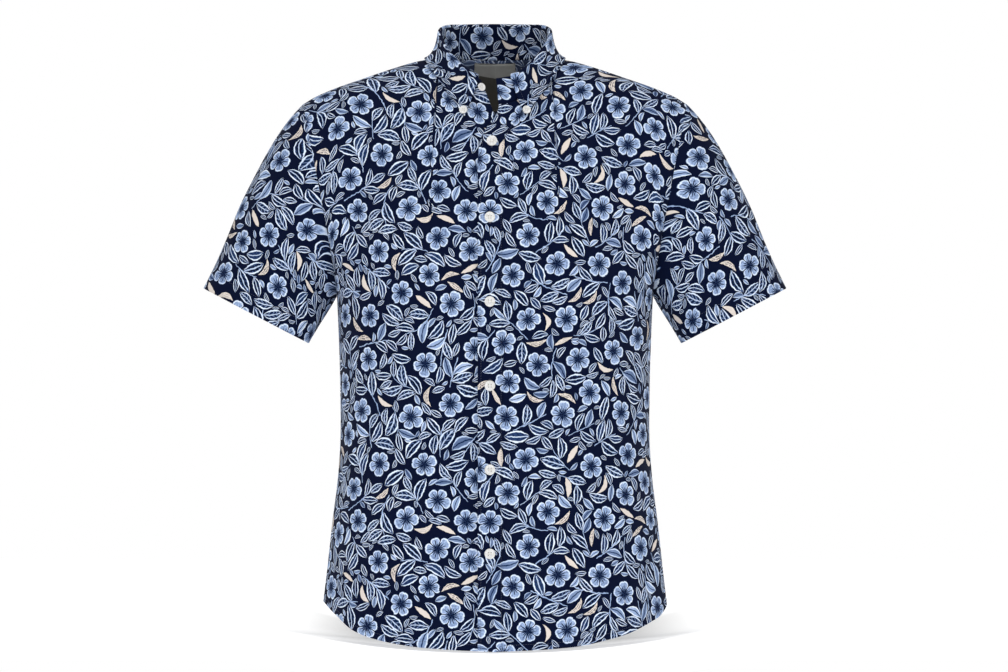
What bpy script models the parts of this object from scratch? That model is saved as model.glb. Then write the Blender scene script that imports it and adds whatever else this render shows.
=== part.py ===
"""A short-sleeved button-down shirt, filled out as if it were worn, with one closed solid for each sewn piece.

Metres. +X is the wearer's left, -Y is forward and +Z is up. The origin is the middle of the neck, level with
the inner ends of the shoulder seams. Every cloth piece is a thin wall on a surface that is worked out from the
sizes and tables below, and pieces that are sewn together share the points of their seam.
"""

import math
from collections import namedtuple

import bmesh
import bpy
import numpy as np
from mathutils import Matrix, Vector

FRONT, BACK = -1, 1  # the sign of Y on each half of the body
LEFT, RIGHT = 1, -1  # the sign of X on the wearer's left and right

# Cloth and seams
CLOTH = 0.0012
COLLAR_CLOTH = 0.0014
LABEL_CLOTH = 0.0010
SEAM_GAP = 0.0004
LIE_GAP = 0.0004  # under a piece that lies on another
LAP = 0.0030  # how far the right front lies behind the left one where they overlap
LAP_FADE = (-0.040, -0.024)  # the right front steps back between these two places across

# Body: rings from the hem up to the chest line, each a rounded oblong
Section = namedtuple("Section", "height half_width front back")
BODY = (
    Section(-0.740, 0.2140, 0.1290, 0.1240),
    Section(-0.665, 0.2110, 0.1280, 0.1205),
    Section(-0.615, 0.2060, 0.1270, 0.1165),
    Section(-0.565, 0.2010, 0.1260, 0.1120),
    Section(-0.516, 0.1950, 0.1255, 0.1085),
    Section(-0.466, 0.1916, 0.1260, 0.1070),
    Section(-0.417, 0.1916, 0.1275, 0.1085),
    Section(-0.342, 0.1935, 0.1300, 0.1170),
    Section(-0.288, 0.1960, 0.1310, 0.1235),
    Section(-0.230, 0.2000, 0.1300, 0.1280),
)
SQUARENESS = 2.35  # exponent of the rings: 2 is an ellipse
CHEST = -0.288  # height of the chest line, where the armholes end

# Hem: its height against the share of the half width, on front and back alike. The left side's end is rounder.
HemPoint = namedtuple("HemPoint", "across right left")
HEM = (
    HemPoint(0.00, -0.7265, -0.7265),
    HemPoint(0.35, -0.7225, -0.7225),
    HemPoint(0.51, -0.7190, -0.7188),
    HemPoint(0.66, -0.7130, -0.7115),
    HemPoint(0.75, -0.7075, -0.7060),
    HemPoint(0.85, -0.6970, -0.6975),
    HemPoint(0.92, -0.6850, -0.6900),
    HemPoint(0.97, -0.6750, -0.6815),
    HemPoint(1.00, -0.6650, -0.6690),
)

# Top of the form: a ridge over the shoulders, up to a virtual point above the neck hole
NECK_SHARE = 0.31  # share of a panel's half width that ends at the neckline
NECK_HALF_WIDTH = 0.071
NECK_DROP = {FRONT: -0.062, BACK: -0.005}  # of the neckline's middle, below its ends
NECK_BEND = 1.2
RidgePoint = namedtuple("RidgePoint", "out height")
RIDGE = (
    RidgePoint(0.000, 0.0620),
    RidgePoint(0.035, 0.0310),
    RidgePoint(0.071, 0.0100),
    RidgePoint(0.105, 0.0010),
    RidgePoint(0.165, -0.0186),
    RidgePoint(0.205, -0.0330),
    RidgePoint(0.224, -0.0415),
    RidgePoint(0.238, -0.0500),
)
RIDGE_Y = (0.000, 0.006)  # at the middle and at the shoulder's tip

# How the panels leave the chest line and arrive at the ridge
SLOPE_STEP = 0.010  # above the chest line, over which the body's own slope is taken
RISE = 0.300
SCOOP = 0.250  # how far forward or back the armhole sets off from the underarm
SCOOP_FROM = 0.66
ARMHOLE_RISE = 0.140
OVER_RIDGE = {FRONT: (0.215, 0.250), BACK: (0.260, 0.250)}  # roundness at the middle and at the tip

# Sleeve
CUFF_MIDDLE = (0.296, -0.312)
CUFF_HALF_WIDTH = 0.0735
CUFF_HALF_DEPTH = 0.052
SLEEVE_TILT = math.radians(27.6)  # from straight down
CAP_DIRECTION = (0.72, -0.69)
UNDERARM_DIRECTION = (0.45, -0.89)
CAP_FULLNESS = 0.22
SLEEVE_PULL = 0.9  # how far a sleeve keeps each end's direction, as a share of its length

# Fronts: the place across of each free edge, against its height
EdgePoint = namedtuple("EdgePoint", "height across")
OVER_EDGE = (
    EdgePoint(-0.760, -0.0210),
    EdgePoint(-0.150, -0.0210),
    EdgePoint(-0.125, -0.0210),
    EdgePoint(-0.108, -0.0200),
    EdgePoint(-0.092, -0.0165),
    EdgePoint(-0.076, -0.0070),
    EdgePoint(-0.061, 0.0030),
    EdgePoint(-0.045, 0.0055),
)
UNDER_EDGE = (
    EdgePoint(-0.760, 0.0090),
    EdgePoint(-0.150, 0.0090),
    EdgePoint(-0.125, 0.0090),
    EdgePoint(-0.108, 0.0088),
    EdgePoint(-0.090, 0.0075),
    EdgePoint(-0.075, 0.0040),
    EdgePoint(-0.061, -0.0020),
    EdgePoint(-0.045, -0.0075),
)
PLACKET_WIDTH = 0.030

# Collar: its fold line, from the centre back to the front end of each side
FoldPoint = namedtuple("FoldPoint", "along x y z")
FOLD = (
    FoldPoint(0.00, 0.0000, 0.0540, 0.0468),
    FoldPoint(0.20, 0.0370, 0.0440, 0.0465),
    FoldPoint(0.38, 0.0600, 0.0180, 0.0448),
    FoldPoint(0.50, 0.0665, -0.0060, 0.0390),
    FoldPoint(0.65, 0.0610, -0.0360, 0.0210),
    FoldPoint(0.80, 0.0440, -0.0610, 0.0005),
    FoldPoint(0.92, 0.0250, -0.0750, -0.0150),
)
FOLD_END = {
    RIGHT: FoldPoint(1.00, 0.0170, -0.0660, -0.0205),
    LEFT: FoldPoint(1.00, 0.0015, -0.0730, -0.0190),
}
FALL_END = 0.94  # where the fall stops, short of the stand's end
ROLL_RADIUS = 0.0016
FRONT_LEAF = 0.60  # from here to its end the fall leaves the fold more and more directly
FRONT_LEAVE = 0.30
ROLL_LIFT = 0.0004  # of the fall off the stand's top, on top of the seam's own gap
FALL_LIFT = 0.0028  # between the panels and the fall's edge
STAND_LIFT = 0.0008  # of the stand off the neckline, on top of the seam's own gap
# The fall's outer edge as it is seen from the front or the back, along the same line
FallPoint = namedtuple("FallPoint", "along x z")
FALL_BACK = (
    FallPoint(0.00, 0.0000, -0.0030),
    FallPoint(0.20, 0.0420, -0.0035),
    FallPoint(0.35, 0.0700, -0.0015),
    FallPoint(0.50, 0.0885, 0.0060),
)
FALL_FRONT = (
    FallPoint(0.50, 0.0885, 0.0060),
    FallPoint(0.65, 0.0735, -0.0160),
    FallPoint(0.80, 0.0555, -0.0410),
    FallPoint(0.94, 0.0368, -0.0665),
)

# Label, buttons
LABEL_COLUMNS = 3  # to each side of the centre back
LABEL_ROWS = 3
LABEL_DROP = 0.006
ButtonSize = namedtuple("ButtonSize", "radius height")
PLACKET_BUTTON = ButtonSize(0.0066, 0.0026)
COLLAR_BUTTON = ButtonSize(0.0052, 0.0022)
FIRST_BUTTON = (-0.0035, -0.097)  # across and height of the top placket button
NEXT_BUTTON = (-0.0062, -0.191)
BUTTON_STEP = 0.1037
BUTTONS_BELOW = 5
SHANK = 0.0012  # thread under the stand's button
NECK_BUTTON = (0.955, 0.62)  # along and up the right half of the stand
COLLAR_BUTTON_SPOT = (0.35, 0.28)  # columns in from the front edge of the fall, and rows up from its point
BUTTON_SIDES = 16
# A button's outline from the middle of its back to the middle of its front, as shares of its radius and height
BUTTON_PROFILE = (
    (0.00, 0.00),
    (0.86, 0.00),
    (1.00, 0.35),
    (0.97, 0.85),
    (0.84, 1.00),
    (0.62, 0.66),
    (0.00, 0.60),
)

# How finely each piece is divided
PLACKET_COLUMNS = 2
NECK_COLUMNS = 8
SHOULDER_COLUMNS = 8
SKIRT_ROWS = 11
CHEST_ROWS = 12
SLEEVE_ROWS = 8
STAND_ROWS = 3
FALL_COLUMNS = 18  # on each half
FALL_ROWS = 4
ROLL_STEPS = 4

# How finely the curves are solved
RING_ANGLES = 400
NECK_PLACES = 25
SOLVER_ROUNDS = 30
EDGE_ROUNDS = 12
BELOW_CHEST, ABOVE_CHEST, NEAR_TOP = 0.5, 1.5, 1.9  # rows from which it starts
LARGEST_STEP = 0.1  # of the solver in one round
NUDGE = 0.001  # between two places that give a slope
SAME_PLACE = 1e-6
KEY_DECIMALS = 5  # of the metres that tell the points of a seam apart
ON_SHOULDER = 0.01  # the fall crosses the shoulder within this share of its own middle
LEVEL = 0.7  # an upward normal of this size or more is out of the body
LEAST_MITRE = 0.5
CLOTH_SHARP = math.radians(60)
BUTTON_SHARP = math.radians(50)

CLOSED = ("sleeve_right", "sleeve_left")  # tubes, whose last column joins their first
COLOURS = {
    "cloth": ((0.045, 0.075, 0.190), 0.85),
    "label": ((0.52, 0.50, 0.44), 0.90),
    "button": ((0.84, 0.82, 0.76), 0.35),
}


# ---------------------------------------------------------------- curves


def hermite(start, leave, end, arrive, part):
    """A cubic from start to end, with the speed leave at the start and arrive at the end."""
    square, cube = part**2, part**3
    return (
        start * (2 * cube - 3 * square + 1)
        + leave * (cube - 2 * square + part)
        + end * (3 * square - 2 * cube)
        + arrive * (cube - square)
    )


def ease(part):
    """0 to 1 with a level start and end."""
    part = np.clip(part, 0, 1)
    return part * part * (3 - 2 * part)


def read(table, column, place):
    """A table's column at a place along its first column, on a smooth curve through the rows."""
    keys = np.array([row[0] for row in table])
    values = np.array([getattr(row, column) for row in table])
    slopes = np.gradient(values, keys)
    place = np.clip(place, keys[0], keys[-1])
    row = np.clip(np.searchsorted(keys, place) - 1, 0, len(keys) - 2)
    step = keys[row + 1] - keys[row]
    part = (place - keys[row]) / step
    return hermite(values[row], slopes[row] * step, values[row + 1], slopes[row + 1] * step, part)


def points(x, y, z):
    """Coordinates of any shapes that fit together, as one array of points."""
    return np.stack(np.broadcast_arrays(x, y, z), axis=-1).astype(float)


def unit(vectors):
    return vectors / np.linalg.norm(vectors, axis=-1, keepdims=True)


# ---------------------------------------------------------------- body panels


def oblong(share):
    """A quarter of a rounded oblong of half size 1 by 1, walked evenly on a chest of common proportions."""
    angles = np.linspace(0, math.pi / 2, RING_ANGLES)
    out = np.sin(angles) ** (2 / SQUARENESS)
    deep = np.cos(angles) ** (2 / SQUARENESS)
    steps = np.hypot(np.diff(out) * BODY[-2].half_width, np.diff(deep) * BODY[-2].front)
    walked = np.concatenate([[0], np.cumsum(steps)])
    angle = np.interp(share, walked / walked[-1], angles)
    return np.sin(angle) ** (2 / SQUARENESS), np.cos(angle) ** (2 / SQUARENESS)


def ring(side, across, height):
    """A point of the body at a height. across runs from 0 at the centre line to 1 or -1 at a side seam."""
    out, deep = oblong(np.abs(across))
    depth = read(BODY, "front" if side == FRONT else "back", height)
    return points(np.sign(across) * out * read(BODY, "half_width", height), side * deep * depth, height)


def skirt(side, across, part):
    """A point below the chest line, from the hem at part 0 to the chest line at part 1."""
    out = oblong(np.abs(across))[0]
    hem = np.where(np.asarray(across) > 0, read(HEM, "left", out), read(HEM, "right", out))
    return ring(side, across, hem + (CHEST - hem) * part)


def ridge(across):
    """The top of the form, from above the neck hole out to the shoulder's tip."""
    share = np.abs(across)
    tip = RIDGE[-1].out
    on_shoulder = NECK_HALF_WIDTH + (tip - NECK_HALF_WIDTH) * (share - NECK_SHARE) / (1 - NECK_SHARE)
    out = np.where(share < NECK_SHARE, NECK_HALF_WIDTH * share / NECK_SHARE, on_shoulder)
    y = RIDGE_Y[0] + (RIDGE_Y[1] - RIDGE_Y[0]) * share
    return points(np.sign(across) * out, y, read(RIDGE, "height", out))


def arch(side, across, part):
    """A point of the form above the chest line, from it at part 0 to the ridge at part 1."""
    share = np.abs(across)
    start = ring(side, across, CHEST)
    slope = (ring(side, across, CHEST + SLOPE_STEP) - start) / SLOPE_STEP
    scoop = ease((share - SCOOP_FROM) / (1 - SCOOP_FROM))
    leave = slope * (RISE + (ARMHOLE_RISE - RISE) * scoop)[..., None]
    leave[..., 1] += side * SCOOP * scoop
    over = OVER_RIDGE[side]
    arrive = points(0, -side * (over[0] + (over[1] - over[0]) * share), 0)
    return hermite(start, leave, ridge(across), arrive, np.asarray(part)[..., None])


def neck_parts(side):
    """Where each place across meets the neckline, as pairs of (share across, part of the arch)."""
    shares = np.linspace(0, NECK_SHARE, NECK_PLACES)
    low, high = np.zeros_like(shares), np.ones_like(shares)
    for _ in range(SOLVER_ROUNDS):
        middle = (low + high) / 2
        point = arch(side, shares, middle)
        turn = np.arcsin(np.clip(point[:, 0] / NECK_HALF_WIDTH, 0, 1))
        line = RIDGE[2].height + NECK_DROP[side] * np.cos(turn) ** NECK_BEND
        below = point[:, 2] < line
        low, high = np.where(below, middle, low), np.where(below, high, middle)
    high[-1] = 1
    return shares, high


def chest(side, across, part):
    """A point above the chest line, from it at part 0 to the neckline or the shoulder seam at part 1."""
    shares, tops = NECK_PARTS[side]
    return arch(side, across, np.asarray(part) * np.interp(np.abs(across), shares, tops))


def panel(side, across, row):
    """A point of the front or back. row runs from 0 at the hem, over 1 at the chest line, to 2 at the top."""
    across, row = np.broadcast_arrays(np.asarray(across, float), np.asarray(row, float))
    low = skirt(side, across, np.clip(row, 0, 1))
    high = chest(side, across, np.clip(row - 1, 0, 1))
    return np.where((row < 1)[..., None], low, high)


def find(side, x, z, row=NEAR_TOP):
    """Where a panel has a point with this x and z, as (across, row)."""
    place = np.array([x / RIDGE[-1].out, row])
    for _ in range(SOLVER_ROUNDS):
        here = panel(side, *place)[[0, 2]]
        by_across = (panel(side, place[0] + NUDGE, place[1])[[0, 2]] - here) / NUDGE
        by_row = (panel(side, place[0], place[1] - NUDGE)[[0, 2]] - here) / -NUDGE
        step = np.linalg.solve(np.column_stack([by_across, by_row]), np.array([x, z]) - here)
        place = place + np.clip(step, -LARGEST_STEP, LARGEST_STEP)
        place[1] = min(max(place[1], 0), 2)
    return place


def out_from(side, place):
    """The unit vector out of a panel at (across, row)."""
    across, row = place
    row = min(row, 2 - NUDGE)
    by_across = panel(side, across + NUDGE, row) - panel(side, across - NUDGE, row)
    by_row = panel(side, across, row + NUDGE) - panel(side, across, row - NUDGE)
    normal = unit(np.cross(by_across, by_row))
    return normal if normal[1] * side > 0 or normal[2] > LEVEL else -normal


NECK_PARTS = {side: neck_parts(side) for side in (FRONT, BACK)}


def panel_rows():
    """The rows of every body panel, from the hem to the top."""
    return np.concatenate([np.linspace(0, 1, SKIRT_ROWS + 1)[:-1], np.linspace(1, 2, CHEST_ROWS + 1)])


def front_places(hand, edge, strip):
    """(across, row) grids of one front, from its free edge to its side. strip is the placket's width, or 0."""
    rows = panel_rows()
    inner, seam = np.zeros(len(rows)), np.zeros(len(rows))
    for i, row in enumerate(rows):
        inner[i] = across_at(row, edge, 0)
        seam[i] = across_at(row, edge, strip)
    to_neck = NECK_COLUMNS - (PLACKET_COLUMNS if strip else 0)
    grid = []
    for i in range(len(rows)):
        parts = [np.linspace(inner[i], seam[i], PLACKET_COLUMNS + 1)[:-1]] if strip else []
        parts.append(np.linspace(seam[i], hand * NECK_SHARE, to_neck + 1)[:-1])
        parts.append(hand * np.linspace(NECK_SHARE, 1, SHOULDER_COLUMNS + 1))
        grid.append(np.concatenate(parts))
    grid = np.array(grid)
    return grid, np.broadcast_to(rows[:, None], grid.shape)


def across_at(row, edge, beside):
    """The place across a front where a row meets its free edge, or a line beside it."""
    across = 0.0
    for _ in range(EDGE_ROUNDS):
        here = panel(FRONT, across, row)
        slope = (panel(FRONT, across + NUDGE, row)[0] - panel(FRONT, across - NUDGE, row)[0]) / (2 * NUDGE)
        across += (read(edge, "across", here[2]) + beside - here[0]) / slope
    return across


def front_grid(hand):
    """The outer points of one front. The right one steps back where the left one laps over it."""
    over = hand == LEFT
    places = front_places(hand, OVER_EDGE if over else UNDER_EDGE, PLACKET_WIDTH if over else 0)
    grid = panel(FRONT, *places)
    if not over:
        grid[..., 1] += LAP * ease((grid[..., 0] - LAP_FADE[0]) / (LAP_FADE[1] - LAP_FADE[0]))
    return grid


def back_grid():
    """The outer points of the back, from the right side to the left."""
    half = np.concatenate([
        np.linspace(0, NECK_SHARE, NECK_COLUMNS + 1)[:-1],
        np.linspace(NECK_SHARE, 1, SHOULDER_COLUMNS + 1),
    ])
    across = np.concatenate([-half[:0:-1], half])
    return panel(BACK, across[None, :], panel_rows()[:, None])


# ---------------------------------------------------------------- sleeves


def armhole(turn):
    """The right armhole. turn is 0 at the underarm, 0.5 at the shoulder, and goes round by the front."""
    part = 1 - np.abs(1 - 2 * turn)
    fore = chest(FRONT, -np.ones_like(turn), part)
    aft = chest(BACK, -np.ones_like(turn), part)
    return np.where((turn <= 0.5)[..., None], fore, aft)


def sleeve_grid(hand):
    """The outer points of a sleeve, from the armhole to the cuff."""
    turn = np.arange(2 * CHEST_ROWS) / (2 * CHEST_ROWS)
    angle = 2 * math.pi * turn
    start = armhole(turn) * (-1, 1, 1)
    up = (1 - np.cos(angle)) / 2  # 0 at the underarm, 1 at the shoulder
    reach = CUFF_HALF_WIDTH * -np.cos(angle)
    end = points(
        CUFF_MIDDLE[0] + reach * math.cos(SLEEVE_TILT),
        -CUFF_HALF_DEPTH * np.sin(angle),
        CUFF_MIDDLE[1] + reach * math.sin(SLEEVE_TILT),
    )
    length = np.linalg.norm(end - start, axis=-1, keepdims=True)
    away = points(
        UNDERARM_DIRECTION[0] + (CAP_DIRECTION[0] - UNDERARM_DIRECTION[0]) * up,
        -CAP_FULLNESS * np.sin(angle),
        UNDERARM_DIRECTION[1] + (CAP_DIRECTION[1] - UNDERARM_DIRECTION[1]) * up,
    )
    leave = unit(away) * length * SLEEVE_PULL
    arrive = np.array([math.sin(SLEEVE_TILT), 0, -math.cos(SLEEVE_TILT)]) * length * SLEEVE_PULL
    rows = np.linspace(0, 1, SLEEVE_ROWS + 1)[:, None, None]
    grid = hermite(start, leave, end, arrive, rows)
    return grid * (hand, 1, 1)


# ---------------------------------------------------------------- collar


def fold_line(hand, along):
    """The collar's fold on one side, from the centre back at 0 to the front end at 1."""
    table = (*FOLD, FOLD_END[hand])
    return points(hand * read(table, "x", along), read(table, "y", along), read(table, "z", along))


def stand_grid(bases):
    """The outer points of the stand, from the neckline up to the fold, right front end to left front end."""
    columns = 2 * NECK_COLUMNS
    along = np.arange(columns + 1) / columns
    tops = np.concatenate([fold_line(RIGHT, along)[::-1], fold_line(LEFT, along)[1:]])
    rows = np.linspace(0, 1, STAND_ROWS + 1)[:, None, None]
    return bases + (tops - bases) * rows


def fall_edge(hand, along):
    """A point of the fall's outer edge, lifted off the panel that it lies on, and the way out of that panel."""
    side = BACK if along <= FALL_FRONT[0].along else FRONT
    table = FALL_BACK if side == BACK else FALL_FRONT
    x, z = hand * read(table, "x", along), read(table, "z", along)
    if abs(along - FALL_FRONT[0].along) < ON_SHOULDER:
        share = (abs(x) - NECK_HALF_WIDTH) / (RIDGE[-1].out - NECK_HALF_WIDTH)
        place = (hand * (NECK_SHARE + share * (1 - NECK_SHARE)), 2.0)
    else:
        place = find(side, x, z)
    normal = out_from(side, place)
    return panel(side, *place) + normal * (FALL_LIFT + COLLAR_CLOTH), normal


def fall_grid(stand, stand_normals):
    """The fall's outer points and its normals, from the stand's top edge, over the fold, to its outer edge."""
    line = np.linspace(-1, 1, stand.shape[1])
    places = np.linspace(-FALL_END, FALL_END, 2 * FALL_COLUMNS + 1)
    tops = between(stand[-1], line, places)
    ups = unit(tops - between(stand[-2], line, places))
    outs = unit(between(stand_normals[-1], line, places))
    outs = unit(outs - ups * (outs * ups).sum(-1, keepdims=True))
    angles = np.linspace(0, math.pi, ROLL_STEPS + 1)[:, None, None]
    swings = outs * -np.cos(angles) + ups * np.sin(angles)
    roll = tops + ups * ROLL_LIFT + outs * ROLL_RADIUS + swings * (ROLL_RADIUS + COLLAR_CLOTH)

    lain = [fall_edge(LEFT if place >= 0 else RIGHT, abs(place)) for place in places]
    edges, edge_normals = np.array(lain).transpose(1, 0, 2)
    chord = edges - roll[-1]
    length = np.linalg.norm(chord, axis=-1, keepdims=True)
    arrive = unit(chord - edge_normals * (chord * edge_normals).sum(-1, keepdims=True)) * length
    to_front = ease((np.abs(places) - FRONT_LEAF) / (FALL_END - FRONT_LEAF))[:, None]
    leave = -ups * length * (1 + (FRONT_LEAVE - 1) * to_front)
    parts = np.linspace(0, 1, FALL_ROWS + 1)[1:, None, None]
    leaf = hermite(roll[-1], leave, edges, arrive, parts)
    grid = np.concatenate([roll, leaf])
    normals = normals_of(grid)
    normals[: ROLL_STEPS + 1] = swings
    return grid, normals


def between(values, line, places):
    """Rows of values that lie along a line, read at other places on it."""
    return np.stack([np.interp(places, line, values[:, axis]) for axis in range(3)], axis=-1)


# ---------------------------------------------------------------- walls


def normals_of(grid, closed=False):
    """Unit normals of a grid of points, out of the body or the tube. closed joins its last column to its first."""
    if closed:
        by_column = np.roll(grid, -1, axis=1) - np.roll(grid, 1, axis=1)
        axis = grid.mean(axis=1, keepdims=True)
    else:
        by_column = np.gradient(grid, axis=1)
        axis = grid * (0, 0, 1)
    normals = unit(np.cross(by_column, np.gradient(grid, axis=0)))
    return normals * np.sign(((grid - axis) * normals).sum())


def share_normals(panels, joined):
    """Gives pieces that meet on a seam one normal there, so that their walls are mitred.

    Both arguments are lists of (grid, normals). The second one holds the pieces that are sewn to the panels.
    """
    totals = {}
    for pieces in (panels, joined):
        sums = {}
        for grid, normals in pieces:
            for key, normal in zip(seam_keys(grid), normals.reshape(-1, 3)):
                sums[key] = sums.get(key, 0) + normal
        for key, total in sums.items():
            totals[key] = totals.get(key, 0) + unit(total)
    return [
        unit(np.array([totals[key] for key in seam_keys(grid)])).reshape(grid.shape)
        for grid, _ in panels + joined
    ]


def seam_keys(grid):
    """A key for each point of a grid, the same for points that coincide."""
    return [tuple(point) for point in np.round(grid.reshape(-1, 3), KEY_DECIMALS)]


def drawn_in(grid, normals, closed):
    """How far each point is moved so that the piece ends half a gap short of its seams."""
    shift = np.zeros_like(grid)
    shift[0] += into(grid[0], grid[1], normals[0], closed)
    shift[-1] += into(grid[-1], grid[-2], normals[-1], closed)
    if not closed:
        shift[:, 0] += into(grid[:, 0], grid[:, 1], normals[:, 0])
        shift[:, -1] += into(grid[:, -1], grid[:, -2], normals[:, -1])
    return shift * SEAM_GAP / 2


def into(edge, neighbours, normals, closed=False):
    """The unit vectors along a surface, square to its edge, towards the neighbours inside it."""
    along = np.roll(edge, -1, axis=0) - np.roll(edge, 1, axis=0) if closed else np.gradient(edge, axis=0)
    across = unit(np.cross(normals, along))
    return across * np.sign((across * (neighbours - edge)).sum(-1, keepdims=True))


def wall_mesh(name, outer, inner, closed=False):
    """A closed wall between two grids of points."""
    rows, columns = outer.shape[:2]
    count = rows * columns
    spans = columns if closed else columns - 1
    quads = []
    for i in range(rows - 1):
        for j in range(spans):
            k = (j + 1) % columns
            quad = [i * columns + j, i * columns + k, (i + 1) * columns + k, (i + 1) * columns + j]
            quads.append(quad)
            quads.append([quad[index] + count for index in (0, 3, 2, 1)])
    for i in (0, rows - 1):
        quads += [rim(i * columns + j, i * columns + (j + 1) % columns, count) for j in range(spans)]
    for j in (0, columns - 1) if not closed else ():
        quads += [rim(i * columns + j, (i + 1) * columns + j, count) for i in range(rows - 1)]
    corners = np.concatenate([outer.reshape(-1, 3), inner.reshape(-1, 3)])
    mesh = bpy.data.meshes.new(name)
    mesh.from_pydata(corners.tolist(), [], [half for quad in quads for half in halves(corners, quad)])
    face_outwards(mesh)
    return mesh


def halves(corners, quad):
    """The two triangles of a quad, on either side of its shorter diagonal."""
    a, b, c, d = quad
    if np.linalg.norm(corners[a] - corners[c]) <= np.linalg.norm(corners[b] - corners[d]):
        return (a, b, c), (a, c, d)
    return (a, b, d), (b, c, d)


def rim(start, end, count):
    """A face of the wall's edge, between two outer points and the inner points count further on."""
    return [start, end, count + end, count + start]


def face_outwards(mesh):
    """Turns every face of a closed mesh to point out of it."""
    work = bmesh.new()
    work.from_mesh(mesh)
    bmesh.ops.recalc_face_normals(work, faces=work.faces)
    work.to_mesh(mesh)
    work.free()


def cloth_wall(name, grid, normals, shared, thickness, closed=False):
    """A sewn piece: the wall behind a grid, as thick everywhere, and just short of its neighbours."""
    mitre = (normals * shared).sum(-1, keepdims=True)
    shift = drawn_in(grid, shared, closed)
    inner = grid - shared * thickness / np.clip(mitre, LEAST_MITRE, 1)
    return wall_mesh(name, grid + shift, inner + shift, closed)


def patch_wall(name, grid, normals, from_face, thickness):
    """A piece that lies on a panel: the panel's points, moved from_face out, and as thick as it is."""
    near = grid + normals * from_face + drawn_in(grid, normals, False)
    return wall_mesh(name, near + normals * thickness, near)


# ---------------------------------------------------------------- buttons


def button_mesh(name, size):
    """A round button, dished in the middle, standing on z = 0."""
    work = bmesh.new()
    line = [work.verts.new((out * size.radius, 0, up * size.height)) for out, up in BUTTON_PROFILE]
    edges = [work.edges.new(pair) for pair in zip(line, line[1:])]
    bmesh.ops.spin(
        work, geom=line + edges, cent=(0, 0, 0), axis=(0, 0, 1), angle=2 * math.pi, steps=BUTTON_SIDES
    )
    bmesh.ops.remove_doubles(work, verts=work.verts, dist=SAME_PLACE)
    bmesh.ops.recalc_face_normals(work, faces=work.faces)
    mesh = bpy.data.meshes.new(name)
    work.to_mesh(mesh)
    work.free()
    mesh.shade_smooth()
    mesh.set_sharp_from_angle(angle=BUTTON_SHARP)
    return mesh


def placed(name, mesh, spot, normal):
    """A button on a spot, facing out along normal, with its top kept upward."""
    z_axis = Vector(normal).normalized()
    x_axis = Vector((0, 0, 1)).cross(z_axis).normalized()
    turn = Matrix((x_axis, z_axis.cross(x_axis), z_axis)).transposed().to_4x4()
    thing = add(name, mesh, "button")
    thing.matrix_world = Matrix.Translation(Vector(spot)) @ turn
    return thing


# ---------------------------------------------------------------- scene


def material(kind):
    """One plain material for each kind of stuff."""
    if kind not in bpy.data.materials:
        colour, roughness = COLOURS[kind]
        made = bpy.data.materials.new(kind)
        made.use_nodes = True
        shader = made.node_tree.nodes["Principled BSDF"]
        shader.inputs["Base Color"].default_value = (*colour, 1)
        shader.inputs["Roughness"].default_value = roughness
        shader.inputs["Metallic"].default_value = 0
    return bpy.data.materials[kind]


def add(name, mesh, kind):
    if not mesh.materials:
        mesh.materials.append(material(kind))
    thing = bpy.data.objects.new(name, mesh)
    bpy.context.scene.collection.objects.link(thing)
    return thing


def add_cloth(name, mesh, kind="cloth"):
    mesh.shade_smooth()
    mesh.set_sharp_from_angle(angle=CLOTH_SHARP)
    return add(name, mesh, kind)


def on_grid(grid, row, column):
    """A point between the points of a grid."""
    i, j = int(row), int(column)
    low = grid[i, j] + (grid[i, j + 1] - grid[i, j]) * (column - j)
    high = grid[i + 1, j] + (grid[i + 1, j + 1] - grid[i + 1, j]) * (column - j)
    return low + (high - low) * (row - i)


def lower_top(grid, drop):
    """A grid whose top row is moved down towards the next one."""
    lowered = grid.copy()
    lowered[-1] += unit(grid[-2] - grid[-1]) * drop
    return lowered


def add_label(back, normals):
    """The label inside the back neck, on the back's inner face."""
    middle = back.shape[1] // 2
    part = np.s_[-1 - LABEL_ROWS :, middle - LABEL_COLUMNS : middle + LABEL_COLUMNS + 1]
    grid = lower_top(back[part], LABEL_DROP)
    mesh = patch_wall("neck_label", grid, -normals[part], CLOTH + 2 * LIE_GAP, LABEL_CLOTH)
    add_cloth("neck_label", mesh, "label")


def add_placket_buttons():
    """The row of buttons on the placket. The top one stands apart, where the front begins to open."""
    mesh = button_mesh("button_placket", PLACKET_BUTTON)
    across, height = NEXT_BUTTON
    spots = [FIRST_BUTTON, *((across, height - BUTTON_STEP * i) for i in range(BUTTONS_BELOW))]
    for number, (x, z) in enumerate(spots, 1):
        place = find(FRONT, x, z, ABOVE_CHEST if z > CHEST else BELOW_CHEST)
        normal = out_from(FRONT, place)
        spot = panel(FRONT, *place) + normal * (CLOTH + 2 * LIE_GAP)
        placed(f"button_{number}", mesh, spot, normal)


def add_collar_buttons(stand, stand_normals, fall, fall_normals):
    """The stand's own button, and one on each point of the fall."""
    columns = 2 * NECK_COLUMNS
    along, up = NECK_BUTTON
    place = (up * STAND_ROWS, (1 - along) * columns)
    normal = unit(on_grid(stand_normals, *place))
    mesh = button_mesh("button_neck", COLLAR_BUTTON)
    placed("button_neck", mesh, on_grid(stand, *place) + normal * SHANK, normal)
    last = fall.shape[1] - 1
    in_from_edge, up_from_point = COLLAR_BUTTON_SPOT
    row = fall.shape[0] - 1 - up_from_point
    mesh = button_mesh("button_collar", COLLAR_BUTTON)
    for name, column in (("button_collar_right", in_from_edge), ("button_collar_left", last - in_from_edge)):
        normal = unit(on_grid(fall_normals, row, column))
        placed(name, mesh, on_grid(fall, row, column) + normal * 2 * LIE_GAP, normal)


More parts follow.
